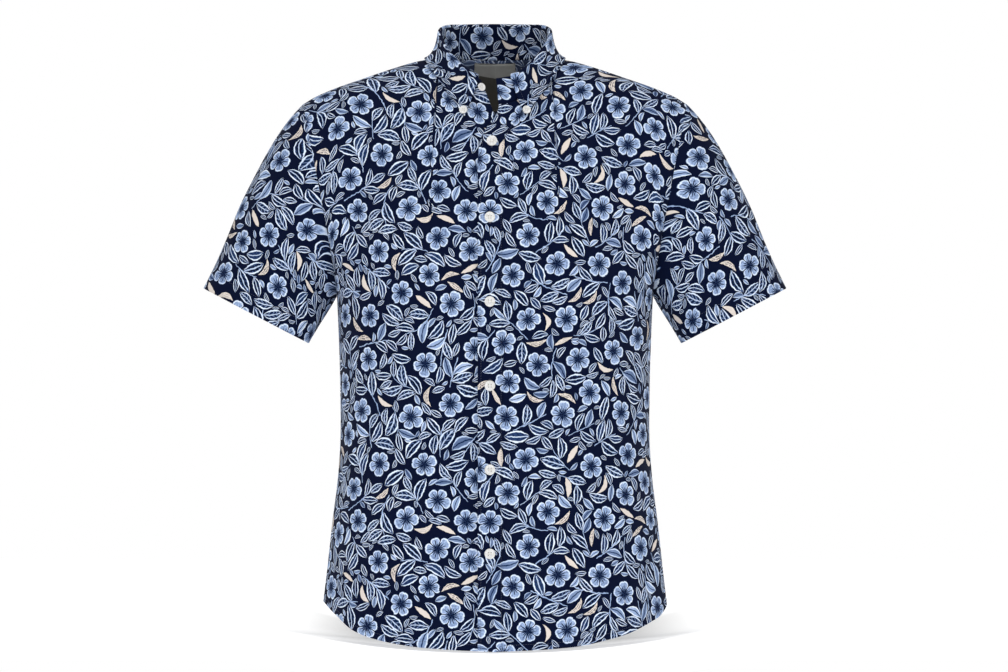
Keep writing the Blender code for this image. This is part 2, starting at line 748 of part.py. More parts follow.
def build():
    """Makes every piece of the shirt."""
    fronts = {hand: front_grid(hand) for hand in (RIGHT, LEFT)}
    back = back_grid()
    neck = NECK_COLUMNS
    middle = back.shape[1] // 2
    bases = np.concatenate([
        fronts[RIGHT][-1, :neck],
        back[-1, middle - neck : middle + neck + 1],
        fronts[LEFT][-1, :neck][::-1],
    ])
    stand = stand_grid(bases)
    panels = {"front_right": fronts[RIGHT], "front_left": fronts[LEFT], "back": back}
    joined = {
        "sleeve_right": sleeve_grid(RIGHT),
        "sleeve_left": sleeve_grid(LEFT),
        "collar_stand": stand,
    }
    grids = panels | joined
    normals = {name: normals_of(grid, name in CLOSED) for name, grid in grids.items()}
    shared = share_normals(
        [(grid, normals[name]) for name, grid in panels.items()],
        [(grid, normals[name]) for name, grid in joined.items()],
    )
    stand[0] += unit(stand[1] - stand[0]) * STAND_LIFT
    for (name, grid), at_seams in zip(grids.items(), shared):
        thickness = COLLAR_CLOTH if name == "collar_stand" else CLOTH
        add_cloth(name, cloth_wall(name, grid, normals[name], at_seams, thickness, name in CLOSED))

    fall, fall_normals = fall_grid(stand, normals["collar_stand"])
    add_cloth("collar_fall", cloth_wall("collar_fall", fall, fall_normals, fall_normals, COLLAR_CLOTH))

    strip = np.s_[:, : PLACKET_COLUMNS + 1]
    placket = patch_wall("placket", fronts[LEFT][strip], normals["front_left"][strip], LIE_GAP, CLOTH)
    add_cloth("placket", placket)
    add_label(back, normals["back"])
    add_placket_buttons()
    add_collar_buttons(stand, normals["collar_stand"], fall, fall_normals)


def main():
    for thing in list(bpy.data.objects):
        bpy.data.objects.remove(thing)
    build()


main()
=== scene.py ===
"""The looks of the short-sleeved shirt: printed cloth on the frame's solids, sewing, buttons and a studio.

Metres, in the frame's own axes: +X is the wearer's left, -Y is forward and +Z is up. The surface formulas and
their tables are those of the part's source, on finer grids, so each shell lies on the solid that it replaces.
"""

import math
from collections import namedtuple

import bmesh
import bpy
import numpy as np
from mathutils import Matrix, Vector


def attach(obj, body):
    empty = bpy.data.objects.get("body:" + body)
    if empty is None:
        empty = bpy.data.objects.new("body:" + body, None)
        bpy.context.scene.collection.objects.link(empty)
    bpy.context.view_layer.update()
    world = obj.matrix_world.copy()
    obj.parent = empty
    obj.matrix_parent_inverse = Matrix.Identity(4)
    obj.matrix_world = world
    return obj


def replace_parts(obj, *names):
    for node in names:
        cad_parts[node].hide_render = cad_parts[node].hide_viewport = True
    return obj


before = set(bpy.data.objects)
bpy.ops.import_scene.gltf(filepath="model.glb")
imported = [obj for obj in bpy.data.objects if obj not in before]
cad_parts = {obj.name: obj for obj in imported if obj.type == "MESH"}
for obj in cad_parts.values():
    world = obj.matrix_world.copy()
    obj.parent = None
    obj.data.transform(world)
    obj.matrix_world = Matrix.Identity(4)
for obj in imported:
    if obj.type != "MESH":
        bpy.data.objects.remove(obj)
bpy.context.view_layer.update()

# Label
LABEL_HALF_WIDTH = 0.0300
LABEL_HEIGHT = 0.062
LABEL_DROP = 0.006

# How finely each shell is divided
PLACKET_COLUMNS = 7
NECK_COLUMNS = 28
SHOULDER_COLUMNS = 60
SKIRT_ROWS = 104
CHEST_ROWS = 84
SLEEVE_ROWS = 72
STAND_ROWS = 12
FALL_COLUMNS = 70  # on each half
FALL_ROWS = 18
ROLL_STEPS = 8

# How finely the curves are solved
RING_ANGLES = 400
NECK_PLACES = 25
SOLVER_ROUNDS = 30
EDGE_ROUNDS = 12
BELOW_CHEST, ABOVE_CHEST, NEAR_TOP = 0.5, 1.5, 1.9  # rows from which a search starts
FIRST_GUESS = 0.7  # of a place across, against its share of the half width
LARGEST_STEP = 0.1  # of a search in one round
NUDGE = 0.001  # between two places that give a slope
FINE_NUDGE = 0.0001
KEY_DECIMALS = 5  # of the metres that tell the points of a seam apart
ON_SHOULDER = 0.01  # the fall crosses the shoulder within this share of its own middle
LEVEL = 0.7  # an upward normal of this size or more is out of the body
LEAST_MITRE = 0.5

FRONT, BACK = -1, 1  # the sign of Y on each half of the body
LEFT, RIGHT = 1, -1  # the sign of X on the wearer's left and right

# Cloth and seams
CLOTH = 0.0012
COLLAR_CLOTH = 0.0014
LABEL_CLOTH = 0.0010
SEAM_GAP = 0.0004
LIE_GAP = 0.0004  # under a piece that lies on another
LAP = 0.0030  # how far the right front lies behind the left one where they overlap
LAP_FADE = (-0.040, -0.024)  # the right front steps back between these two places across


def table(fields, *rows):
    """A short table, whose rows have the named fields."""
    kind = namedtuple("Row", fields)
    return tuple(kind(*row) for row in rows)


# Body: rings from the hem up to the chest line, each a rounded oblong
BODY = table(
    "height half_width front back",
    (-0.740, 0.2140, 0.1290, 0.1240),
    (-0.665, 0.2110, 0.1280, 0.1205),
    (-0.615, 0.2060, 0.1270, 0.1165),
    (-0.565, 0.2010, 0.1260, 0.1120),
    (-0.516, 0.1950, 0.1255, 0.1085),
    (-0.466, 0.1916, 0.1260, 0.1070),
    (-0.417, 0.1916, 0.1275, 0.1085),
    (-0.342, 0.1935, 0.1300, 0.1170),
    (-0.288, 0.1960, 0.1310, 0.1235),
    (-0.230, 0.2000, 0.1300, 0.1280),
)
CHEST_SECTION = BODY[-2]
SQUARENESS = 2.35  # exponent of the rings: 2 is an ellipse
CHEST = -0.288  # height of the chest line, where the armholes end

# Hem: its height against the share of the half width, front and back alike. The left side's end is rounder.
HEM = table(
    "across right left",
    (0.00, -0.7265, -0.7265),
    (0.35, -0.7225, -0.7225),
    (0.51, -0.7190, -0.7188),
    (0.66, -0.7130, -0.7115),
    (0.75, -0.7075, -0.7060),
    (0.85, -0.6970, -0.6975),
    (0.92, -0.6850, -0.6900),
    (0.97, -0.6750, -0.6815),
    (1.00, -0.6650, -0.6690),
)

# Top of the form: a ridge over the shoulders, up to a virtual point above the neck hole
NECK_SHARE = 0.31  # share of a panel's half width that ends at the neckline
NECK_HALF_WIDTH = 0.071
NECK_DROP = {FRONT: -0.062, BACK: -0.005}  # of the neckline's middle, below its ends
NECK_BEND = 1.2
RIDGE = table(
    "out height",
    (0.000, 0.0620),
    (0.035, 0.0310),
    (0.071, 0.0100),
    (0.105, 0.0010),
    (0.165, -0.0186),
    (0.205, -0.0330),
    (0.224, -0.0415),
    (0.238, -0.0500),
)
NECK_END_HEIGHT = RIDGE[2].height  # where the neckline ends on the ridge
RIDGE_Y = (0.000, 0.006)  # at the middle and at the shoulder's tip

# How the panels leave the chest line and arrive at the ridge
SLOPE_STEP = 0.010  # above the chest line, over which the body's own slope is taken
RISE = 0.300
SCOOP = 0.250  # how far forward or back the armhole sets off from the underarm
SCOOP_FROM = 0.66
ARMHOLE_RISE = 0.140
OVER_RIDGE = {FRONT: (0.215, 0.250), BACK: (0.260, 0.250)}  # roundness at the middle and at the tip

# Sleeve
CUFF_MIDDLE = (0.296, -0.312)
CUFF_HALF_WIDTH = 0.0735
CUFF_HALF_DEPTH = 0.052
SLEEVE_TILT = math.radians(27.6)  # from straight down
CAP_DIRECTION = (0.72, -0.69)
UNDERARM_DIRECTION = (0.45, -0.89)
CAP_FULLNESS = 0.22
SLEEVE_PULL = 0.9  # how far a sleeve keeps each end's direction, as a share of its length

# Fronts: the place across of each free edge, against its height
OVER_EDGE = table(
    "height across",
    (-0.760, -0.0210),
    (-0.150, -0.0210),
    (-0.125, -0.0210),
    (-0.108, -0.0200),
    (-0.092, -0.0165),
    (-0.076, -0.0070),
    (-0.061, 0.0030),
    (-0.045, 0.0055),
)
UNDER_EDGE = table(
    "height across",
    (-0.760, 0.0090),
    (-0.150, 0.0090),
    (-0.125, 0.0090),
    (-0.108, 0.0088),
    (-0.090, 0.0075),
    (-0.075, 0.0040),
    (-0.061, -0.0020),
    (-0.045, -0.0075),
)
PLACKET_WIDTH = 0.030

# Collar: its fold line, from the centre back to the front end of each side
FOLD = table(
    "along x y z",
    (0.00, 0.0000, 0.0540, 0.0468),
    (0.20, 0.0370, 0.0440, 0.0465),
    (0.38, 0.0600, 0.0180, 0.0448),
    (0.50, 0.0665, -0.0060, 0.0390),
    (0.65, 0.0610, -0.0360, 0.0210),
    (0.80, 0.0440, -0.0610, 0.0005),
    (0.92, 0.0250, -0.0750, -0.0150),
)
FOLD_END = {
    RIGHT: table("along x y z", (1.00, 0.0170, -0.0660, -0.0205)),
    LEFT: table("along x y z", (1.00, 0.0015, -0.0730, -0.0190)),
}
FALL_END = 0.94  # where the fall stops, short of the stand's end
ROLL_RADIUS = 0.0016
FRONT_LEAF = 0.60  # from here to its end the fall leaves the fold more and more directly
FRONT_LEAVE = 0.30
ROLL_LIFT = 0.0004  # of the fall off the stand's top, on top of the seam's own gap
FALL_LIFT = 0.0028  # between the panels and the fall's edge
STAND_LIFT = 0.0008  # of the stand off the neckline, on top of the seam's own gap
# The fall's outer edge as it is seen from the front or the back, along the same line
FALL_BACK = table(
    "along x z",
    (0.00, 0.0000, -0.0030),
    (0.20, 0.0420, -0.0035),
    (0.35, 0.0700, -0.0015),
    (0.50, 0.0885, 0.0060),
)
FALL_FRONT = table(
    "along x z",
    (0.50, 0.0885, 0.0060),
    (0.65, 0.0735, -0.0160),
    (0.80, 0.0555, -0.0410),
    (0.94, 0.0368, -0.0665),
)

# Buttons
ButtonSize = namedtuple("ButtonSize", "radius height")
PLACKET_BUTTON = ButtonSize(0.0066, 0.0026)
COLLAR_BUTTON = ButtonSize(0.0052, 0.0022)
FIRST_BUTTON = (-0.0035, -0.097)  # across and height of the top placket button
NEXT_BUTTON = (-0.0062, -0.191)
BUTTON_STEP = 0.1037
BUTTONS_BELOW = 5
SHANK = 0.0012  # thread under the stand's button
NECK_BUTTON = (0.955, 0.62)  # along and up the right half of the stand
CAD_FALL_COLUMNS = 18  # the solid's columns on each half of the fall
CAD_FALL_ROWS = 4
COLLAR_BUTTON_SPOT = (0.35, 0.28)  # columns in from the fall's front edge, and rows up from its point
BUTTON_SIDES = 40
BUTTON_SHARP = math.radians(40)
# A button's outline from its back to its dished middle, as shares of its radius and height
BUTTON_PROFILE = (
    (0.86, 0.00), (0.97, 0.14), (1.00, 0.38), (0.985, 0.70), (0.94, 0.90), (0.87, 1.00), (0.80, 0.99),
    (0.73, 0.88), (0.66, 0.72), (0.58, 0.65),
)
HOLE_SIDES = 12
HOLE_RADIUS, HOLE_APART, HOLE_TOP = 0.115, 0.24, 0.62  # shares of the button's radius, radius and height
STRAND = 0.00022  # from the middle of a pair of holes to each strand through it
STRAND_RADIUS = 0.042  # of the button's radius
STRAND_TOP, STRAND_DROP = 0.70, 0.42  # of the button's height
STRAND_STEPS = 13
STRAND_SIDES = 8
BUTTONHOLE = (0.0170, 0.0030)  # length and width
BUTTONHOLE_STEPS = 48
BUTTONHOLE_FOOT = -0.0002
# Its stitches, from the slit out: the share of its own size, and the height
BUTTONHOLE_PROFILE = ((0.12, 0.0002), (0.45, 0.00042), (1.0, 0.0003), (1.08, BUTTONHOLE_FOOT))
ZIGZAG = 0.06  # of its stitches' ends, as a share of the width

# Creases: soft hills and, with a negative depth, troughs. Millimetres, seen from the front on the body.
CREASE = "start middle end width depth"
FRONT_CREASES = {
    RIGHT: table(
        CREASE,
        ((-80, -192), (-96, -232), (-120, -262), 13, -1.9),
        ((-62, -368), (-100, -404), (-142, -420), 15, -2.3),
        ((-120, -505), (-146, -492), (-172, -466), 14, -2.0),
        ((-100, -298), (-118, -340), (-126, -384), 17, 2.2),
        ((-184, -214), (-180, -252), (-160, -290), 15, 2.4),
        ((-60, -560), (-84, -610), (-92, -668), 20, 1.5),
        ((-150, -560), (-160, -610), (-156, -660), 18, -1.5),
        ((-128, -110), (-134, -150), (-140, -190), 15, 1.2),
    ),
    LEFT: table(
        CREASE,
        ((82, -356), (104, -392), (136, -414), 14, -2.2),
        ((62, -460), (78, -488), (94, -508), 13, -1.7),
        ((150, -342), (170, -358), (186, -384), 13, -2.0),
        ((130, -104), (136, -150), (130, -196), 16, 1.6),
        ((186, -210), (178, -250), (162, -284), 15, 2.2),
        ((120, -520), (150, -530), (176, -512), 15, -1.8),
        ((70, -580), (88, -624), (90, -676), 20, 1.5),
        ((150, -590), (156, -630), (150, -670), 17, -1.3),
        ((60, -250), (84, -290), (118, -312), 15, 1.3),
    ),
}
BACK_CREASES = table(
    CREASE,
    ((-150, -150), (-60, -176), (20, -158), 20, 1.6),
    ((150, -196), (96, -226), (30, -232), 17, -1.5),
    ((-170, -330), (-120, -380), (-60, -398), 17, -2.1),
    ((172, -350), (130, -384), (86, -392), 15, 2.0),
    ((-30, -420), (0, -452), (44, -460), 19, -1.6),
    ((-150, -470), (-110, -500), (-84, -548), 16, 1.9),
    ((150, -500), (118, -540), (102, -600), 18, -1.9),
    ((-70, -590), (-62, -640), (-72, -690), 20, 1.5),
    ((40, -600), (52, -650), (46, -700), 21, 1.5),
    ((-184, -220), (-176, -262), (-158, -292), 14, 2.2),
    ((184, -226), (174, -262), (150, -300), 14, 2.2),
)
# On the sleeves, across from the shoulder's line, negative in front, and down from the armhole's top
SLEEVE_CREASES = table(
    CREASE,
    ((-150, 60), (-112, 96), (-62, 112), 13, -2.0),
    ((-128, 28), (-100, 62), (-60, 84), 12, 1.6),
    ((-164, 112), (-130, 140), (-84, 150), 14, 1.5),
    ((148, 58), (110, 90), (56, 104), 13, -2.0),
    ((126, 30), (96, 66), (60, 92), 13, 1.7),
    ((160, 116), (122, 138), (80, 144), 14, 1.4),
    ((-24, 66), (-8, 104), (6, 150), 20, 1.2),
)
CREASE_STEPS = 40
CREASE_SIDES = 0.35  # how much a crease dips on both sides, as a share of its height
LEAST_WIDTH = 0.3
FADE = 0.020
HEM_WAVE = 0.0016
HEM_WAVES = ((71, 0.6, 1.0), (43, 2.1, 0.6))  # radians to the metre, start and strength of each wave
HEM_WAVE_HEIGHT = 0.110

# Hems and stitches
HEM_WIDTH = 0.0085
CUFF_WIDTH = 0.0220
TURN = 0.0005  # how far the turned-up cloth stands out in all
TURN_OUT, TURN_IN = 0.4, 0.6  # the shares of it on the outer and the inner side
TURN_STEP = 0.0012
STITCH = 0.0030  # from one stitch to the next
STITCH_LENGTH = 0.0022
STITCH_LIFT = 0.5  # of the hem's stitches, as a share of how far the hem stands out
STITCH_SIDES = 6
STITCH_TAPER = 0.32  # where a stitch begins to narrow, from its middle, as a share of its length
THREAD_RADIUS = 0.00028
EDGE_STITCH = 0.0012
FREE_EDGE = 3  # how many times as far in the placket's stitches are on its free edge
COLLAR_STITCH = 0.0060
LABEL_STITCH = 0.0015
EDGE_ROUND = 0.35  # how far a cut edge bulges, as a share of the thickness
HEM_ROWS = 14
HEM_ROWS_SHARE = 0.034

# Print: the sizes of its motifs and of the repeat
FLAT, INSIDE, MOTIF = "cut", "inside", "motif_{}"
Motif = namedtuple("Motif", "kind x y angle size seed")
FILLED, OUTLINED, CREAM, STEM, FLOWER, PLAIN = 1, 2, 3, 4, 5, 6
SLOTS = 4
CODE_START = 0.1
CODE_SPAN = 0.8
PRINT_SEED = 11
TILE = 0.384
CELL = 0.001
GAP = 0.0003
LEAF_WIDTH = 0.190
LEAF_SPREAD = 0.060
LEAF_POINT = 0.95
LEAF_BEND = 0.30
CREAM_BEND = 2.0  # how much more a cream leaf is bent
BEND_SEED, FULL_SEED, TONE_SEED = 7.3, 13.7, 5.1  # what a leaf's seed is multiplied by for each of its traits
STEM_HALF_WIDTH = 0.012
PRINT_WOBBLE = 0.03
MOTIF_REACH = 1.1  # no motif goes farther than this share of its size from its place
Batch = namedtuple("Batch", "kinds sizes tries most margin")
FLOWERS = Batch((FLOWER,), (0.0172, 0.0140), 900, 45, 0.0070)
SPRIG_TRIES = 5200
SPRIG_SIZE = (0.030, 0.050)
SPRIG_LEAF = (0.022, 0.031)
SPRIG_LEAN = (0.50, 1.00)
SPRIG_KINDS = (FILLED, FILLED, FILLED, FILLED, OUTLINED, PLAIN)
SPRIG_TAPER = (1.15, 0.30)
SPRIG_FOOT = 0.22
SPRIG_LEAVES = 8
SPRIG_LEAST = 3
FILLERS = (
    Batch((CREAM,), (0.0260, 0.0190), 900, 32, 0.0),
    Batch((FILLED, FILLED, FILLED, OUTLINED), (0.0320, 0.0240), 7000, 999, GAP),
    Batch((FILLED, FILLED, FILLED, OUTLINED, PLAIN), (0.0240, 0.0150), 7000, 999, GAP),
    Batch((FILLED, PLAIN), (0.0150, 0.0090), 4000, 999, GAP),
)
OFFSETS = {
    "front_right": (0.031, 0.200),
    "front_left": (0.262, 0.118),
    "back": (0.140, 0.051),
    "sleeve_right": (0.075, 0.300),
    "sleeve_left": (0.310, 0.222),
    "collar_stand": (0.020, 0.010),
    "collar_fall": (0.190, 0.333),
}

# Camera and studio. The photograph's frame is IMAGE_SIZE pixels, METRES_PER_PIXEL wide each at the shirt.
IMAGE_SIZE = (1008, 672)
METRES_PER_PIXEL = 0.00124
CAMERA_DISTANCE = 20.0
CAMERA_MIDDLE = (0.0112, -0.3373)  # X and Z in the middle of the frame
SENSOR = 36.0
FLOOR_HEIGHT = -0.7285
FLOOR_FRONT, FLOOR_BACK, FLOOR_SIDE = -2.0, 6.0, 3.0
FLOOR_BEND = 0.36  # the floor's rise to the sides, over the square of the distance
FLOOR_RISE = 0.030
FLOOR_STEPS = 240
FLOOR_GLOW = 0.62  # painted light: the floor's glow, away from a painted shadow region under and behind the shirt, which has none
# The glow is taken away within these bounds to the sides, in front and behind, which paints that shadow
# region on the floor
GLOW_SIDES = (0.14, 0.30)  # the glow rises from none between these distances to the side
GLOW_FRONT = (-0.42, 0.05)
GLOW_BACK = (0.9, 2.0)
FLOOR_WHITE = (0.88, 0.88, 0.88, 1)
WHITE = (1, 1, 1, 1)

# Looks. Colours are given from 0 to 255, as they are on the screen.
PETALS = 5
STREAK_ANGLE = 0.35  # between a petal's streaks, in radians
WEAVE, LABEL_WEAVE = 0.0011, 0.0006  # two threads
WEAVE_DEPTH, LABEL_WEAVE_DEPTH = 0.00006, 0.00005
WOBBLE_SCALE, GRAIN_SCALE, MOTTLE_SCALE = 210.0, 420.0, 34.0
PRINT_COLOURS = (
    (0.00, (6, 19, 45)),
    (0.22, (28, 47, 82)),
    (0.46, (50, 72, 114)),
    (0.68, (156, 179, 218)),
    (0.90, (224, 236, 252)),
    (1.00, (240, 246, 254)),
)
CREAM_SLIM = 0.42  # how much slimmer a cream leaf is
# In the drawings, each pair gives the places between which a stroke fades in or out
LEAF_ENDS = ((-0.005, 0.01), (1.005, 0.99))  # shares of the leaf's length
LEAF_EDGE, LEAF_OUTLINE = (1.04, 0.94), (0.60, 0.76)  # shares of its half width
LEAST_HALF_WIDTH = 0.004
MIDRIB, MIDRIB_ENDS = (0.032, 0.016), ((0.02, 0.06), (0.96, 0.86))
STEM_EDGE = (STEM_HALF_WIDTH * 1.5, STEM_HALF_WIDTH * 0.8)
VEINS = 5.0  # to a leaf's length
FILLED_VEIN, LINED_VEIN = (0.18, 0.06), (0.19, 0.09)  # shares of the step from vein to vein
CORE, CORE_ENDS, CORE_ROUGHNESS = (0.62, 0.38), ((0.06, 0.22), (0.94, 0.74)), 1.6
DARK_CORE, CREAM_STROKES = (0.10, 0.30), (0.45, 0.55)  # the tones that bring them in
PETAL_SIZE, PETAL_VARIES = 0.82, 0.20
PETAL_POWER, PETAL_ROUND = 3.4, 0.34
NOTCH, NOTCH_DEPTH = (0.10, 0.0), 0.035  # at the middle of a petal's edge
PETAL_EDGE, PETAL_RIM = (1.03, 0.95), (0.80, 0.93)  # shares of a petal's length
PETAL_GAP, PETAL_BORDER, BORDER_FROM = (0.018, 0.046), (0.115, 0.065), (0.35, 0.6)
STREAK_EDGE, STREAK_START, STREAK_END = (0.010, -0.006), (0.07, 0.15), (0.05, -0.02)
FLOWER_MIDDLE, FLOWER_HOLE = (0.40, 0.06), (0.02, 0.05)
CREAM_COLOUR = (224, 214, 206)
INSIDE_COLOUR = (84, 97, 128)
INSIDE_SHARE = 0.45  # of it over the print, on the inner side
BUTTON_COLOURS = ((0.30, (204, 202, 198)), (0.50, (222, 222, 220)), (0.70, (236, 237, 238)))
NAVY_THREAD = (26, 36, 66)
THREAD_TWIST = 5200  # radians to the metre
THREAD_TWIST_DEPTH = 0.00005
THREAD_SHADE = 0.8  # of the dark side of its twist
LABEL_PAINTED_SHADE_AND_COLOUR = ((60, 58, 50), (156, 156, 152))  # below and above the height that follows: the darker is painted shade inside the neck below the stand, the lighter is the label's own colour
LABEL_SHADE_TOP = 0.044  # height on the label where its painted shade ends and its own lighter colour begins
LABEL_THREAD = (168, 160, 142)
BUTTON_THREAD = (226, 222, 214)
WORLD_LIGHT = 0.48
# Each light's name, place, target, size and power
LIGHTS = (
    ("key", (-0.7, -3.3, 1.5), (0, 0, -0.30), 1.0, 36.0),
    ("fill", (2.0, -2.8, 0.7), (0, 0, -0.35), 1.6, 12.0),
    ("top", (0.0, -0.6, 2.4), (0, 0, -0.20), 1.1, 18.0),
)
CLOSED = ("sleeve_right", "sleeve_left")  # the pieces that are tubes


# ---------------------------------------------------------------- curves


def hermite(start, leave, end, arrive, part):
    """A cubic from start to end, with the speed leave at the start and arrive at the end."""
    square, cube = part**2, part**3
    return (
        start * (2 * cube - 3 * square + 1)
        + leave * (cube - 2 * square + part)
        + end * (3 * square - 2 * cube)
        + arrive * (cube - square)
    )


def ease(part):
    """0 to 1 with a level start and end."""
    part = np.clip(part, 0, 1)
    return part * part * (3 - 2 * part)


def read(rows, column, place):
    """A table's column at a place along its first column, on a smooth curve through the rows."""
    keys = np.array([row[0] for row in rows])
    values = np.array([getattr(row, column) for row in rows])
    slopes = np.gradient(values, keys)
    place = np.clip(place, keys[0], keys[-1])
    row = np.clip(np.searchsorted(keys, place) - 1, 0, len(keys) - 2)
    step = keys[row + 1] - keys[row]
    part = (place - keys[row]) / step
    return hermite(values[row], slopes[row] * step, values[row + 1], slopes[row + 1] * step, part)


def points(x, y, z):
    """Coordinates of any shapes that fit together, as one array of points."""
    return np.stack(np.broadcast_arrays(x, y, z), axis=-1).astype(float)


def unit(vectors):
    return vectors / np.linalg.norm(vectors, axis=-1, keepdims=True)


# ---------------------------------------------------------------- body panels


def oblong(share):
    """A quarter of a rounded oblong of half size 1 by 1, walked evenly on a chest of common proportions."""
    angles = np.linspace(0, math.pi / 2, RING_ANGLES)
    out = np.sin(angles) ** (2 / SQUARENESS)
    deep = np.cos(angles) ** (2 / SQUARENESS)
    steps = np.hypot(np.diff(out) * CHEST_SECTION.half_width, np.diff(deep) * CHEST_SECTION.front)
    walked = np.concatenate([[0], np.cumsum(steps)])
    angle = np.interp(share, walked / walked[-1], angles)
    return np.sin(angle) ** (2 / SQUARENESS), np.cos(angle) ** (2 / SQUARENESS)


def ring(side, across, height):
    """A point of the body at a height. across runs from 0 at the centre line to 1 or -1 at a side seam."""
    out, deep = oblong(np.abs(across))
    depth = read(BODY, "front" if side == FRONT else "back", height)
    return points(np.sign(across) * out * read(BODY, "half_width", height), side * deep * depth, height)


def skirt(side, across, part):
    """A point below the chest line, from the hem at part 0 to the chest line at part 1."""
    out = oblong(np.abs(across))[0]
    hem = np.where(np.asarray(across) > 0, read(HEM, "left", out), read(HEM, "right", out))
    return ring(side, across, hem + (CHEST - hem) * part)


def ridge(across):
    """The top of the form, from above the neck hole out to the shoulder's tip."""
    share = np.abs(across)
    tip = RIDGE[-1].out
    on_shoulder = NECK_HALF_WIDTH + (tip - NECK_HALF_WIDTH) * (share - NECK_SHARE) / (1 - NECK_SHARE)
    out = np.where(share < NECK_SHARE, NECK_HALF_WIDTH * share / NECK_SHARE, on_shoulder)
    y = RIDGE_Y[0] + (RIDGE_Y[1] - RIDGE_Y[0]) * share
    return points(np.sign(across) * out, y, read(RIDGE, "height", out))


def arch(side, across, part):
    """A point of the form above the chest line, from it at part 0 to the ridge at part 1."""
    share = np.abs(across)
    start = ring(side, across, CHEST)
    slope = (ring(side, across, CHEST + SLOPE_STEP) - start) / SLOPE_STEP
    scoop = ease((share - SCOOP_FROM) / (1 - SCOOP_FROM))
    leave = slope * (RISE + (ARMHOLE_RISE - RISE) * scoop)[..., None]
    leave[..., 1] += side * SCOOP * scoop
    over = OVER_RIDGE[side]
    arrive = points(0, -side * (over[0] + (over[1] - over[0]) * share), 0)
    return hermite(start, leave, ridge(across), arrive, np.asarray(part)[..., None])


def neck_parts(side):
    """Where each place across meets the neckline, as pairs of (share across, part of the arch)."""
    shares = np.linspace(0, NECK_SHARE, NECK_PLACES)
    low, high = np.zeros_like(shares), np.ones_like(shares)
    for _ in range(SOLVER_ROUNDS):
        middle = (low + high) / 2
        point = arch(side, shares, middle)
        turn = np.arcsin(np.clip(point[:, 0] / NECK_HALF_WIDTH, 0, 1))
        line = NECK_END_HEIGHT + NECK_DROP[side] * np.cos(turn) ** NECK_BEND
        below = point[:, 2] < line
        low, high = np.where(below, middle, low), np.where(below, high, middle)
    high[-1] = 1
    return shares, high


def chest(side, across, part):
    """A point above the chest line, from it at part 0 to the neckline or the shoulder seam at part 1."""
    shares, tops = NECK_PARTS[side]
    return arch(side, across, np.asarray(part) * np.interp(np.abs(across), shares, tops))


def panel(side, across, row):
    """A point of the front or back. row runs from 0 at the hem, over 1 at the chest line, to 2 at the top."""
    across, row = np.broadcast_arrays(np.asarray(across, float), np.asarray(row, float))
    low = skirt(side, across, np.clip(row, 0, 1))
    high = chest(side, across, np.clip(row - 1, 0, 1))
    return np.where((row < 1)[..., None], low, high)


def find(side, x, z, row=NEAR_TOP):
    """Where a panel has a point with this x and z, as (across, row)."""
    place = np.array([x / CHEST_SECTION.half_width * FIRST_GUESS, row])
    for _ in range(SOLVER_ROUNDS):
        here = panel(side, *place)[[0, 2]]
        by_across = (panel(side, place[0] + FINE_NUDGE, place[1])[[0, 2]] - here) / FINE_NUDGE
        by_row = (panel(side, place[0], place[1] - FINE_NUDGE)[[0, 2]] - here) / -FINE_NUDGE
        step = np.linalg.solve(np.column_stack([by_across, by_row]), np.array([x, z]) - here)
        place = place + np.clip(step, -LARGEST_STEP, LARGEST_STEP)
        place[1] = min(max(place[1], 0.0), 2.0)
    return place


def out_from(side, place):
    """The unit vector out of a panel at (across, row)."""
    across, row = place
    row = min(row, 2 - NUDGE)
    by_across = panel(side, across + NUDGE, row) - panel(side, across - NUDGE, row)
    by_row = panel(side, across, row + NUDGE) - panel(side, across, row - NUDGE)
    normal = unit(np.cross(by_across, by_row))
    return normal if normal[1] * side > 0 or normal[2] > LEVEL else -normal


NECK_PARTS = {side: neck_parts(side) for side in (FRONT, BACK)}


def panel_rows():
    """The rows of every body panel, from the hem, where they are closest, to the top."""
    return np.concatenate([
        np.linspace(0, HEM_ROWS_SHARE, HEM_ROWS + 1)[:-1],
        np.linspace(HEM_ROWS_SHARE, 1, SKIRT_ROWS + 1)[:-1],
        np.linspace(1, 2, CHEST_ROWS + 1),
    ])


def front_places(hand, edge, strip):
    """(across, row) grids of one front, from its free edge out. strip is the placket's width, or 0."""
    rows = panel_rows()
    inner, seam = across_at(rows, edge, 0), across_at(rows, edge, strip)
    to_neck = NECK_COLUMNS - (PLACKET_COLUMNS if strip else 0)
    parts = [np.linspace(inner, seam, PLACKET_COLUMNS + 1)[:-1]] if strip else []
    parts.append(np.linspace(seam, hand * NECK_SHARE, to_neck + 1)[:-1])
    outer = hand * np.linspace(NECK_SHARE, 1, SHOULDER_COLUMNS + 1)
    parts.append(np.broadcast_to(outer[:, None], (len(outer), len(rows))))
    grid = np.concatenate(parts).T
    return grid, np.broadcast_to(rows[:, None], grid.shape)


def across_at(rows, edge, beside):
    """The places across a front where rows meet its free edge, or a line beside it."""
    across = np.zeros(len(rows))
    for _ in range(EDGE_ROUNDS):
        here = panel(FRONT, across, rows)
        ahead, behind = panel(FRONT, across + NUDGE, rows), panel(FRONT, across - NUDGE, rows)
        slope = (ahead - behind)[:, 0] / (2 * NUDGE)
        across = across + (read(edge, "across", here[:, 2]) + beside - here[:, 0]) / slope
    return across


def front_grid(hand):
    """The outer points of one front. The right one steps back where the left one laps over it."""
    over = hand == LEFT
    places = front_places(hand, OVER_EDGE if over else UNDER_EDGE, PLACKET_WIDTH if over else 0)
    grid = panel(FRONT, *places)
    if not over:
        grid[..., 1] += LAP * ease((grid[..., 0] - LAP_FADE[0]) / (LAP_FADE[1] - LAP_FADE[0]))
    return grid


def back_grid():
    """The outer points of the back, from the right side to the left."""
    half = np.concatenate([
        np.linspace(0, NECK_SHARE, NECK_COLUMNS + 1)[:-1],
        np.linspace(NECK_SHARE, 1, SHOULDER_COLUMNS + 1),
    ])
    across = np.concatenate([-half[:0:-1], half])
    return panel(BACK, across[None, :], panel_rows()[:, None])


# ---------------------------------------------------------------- sleeves


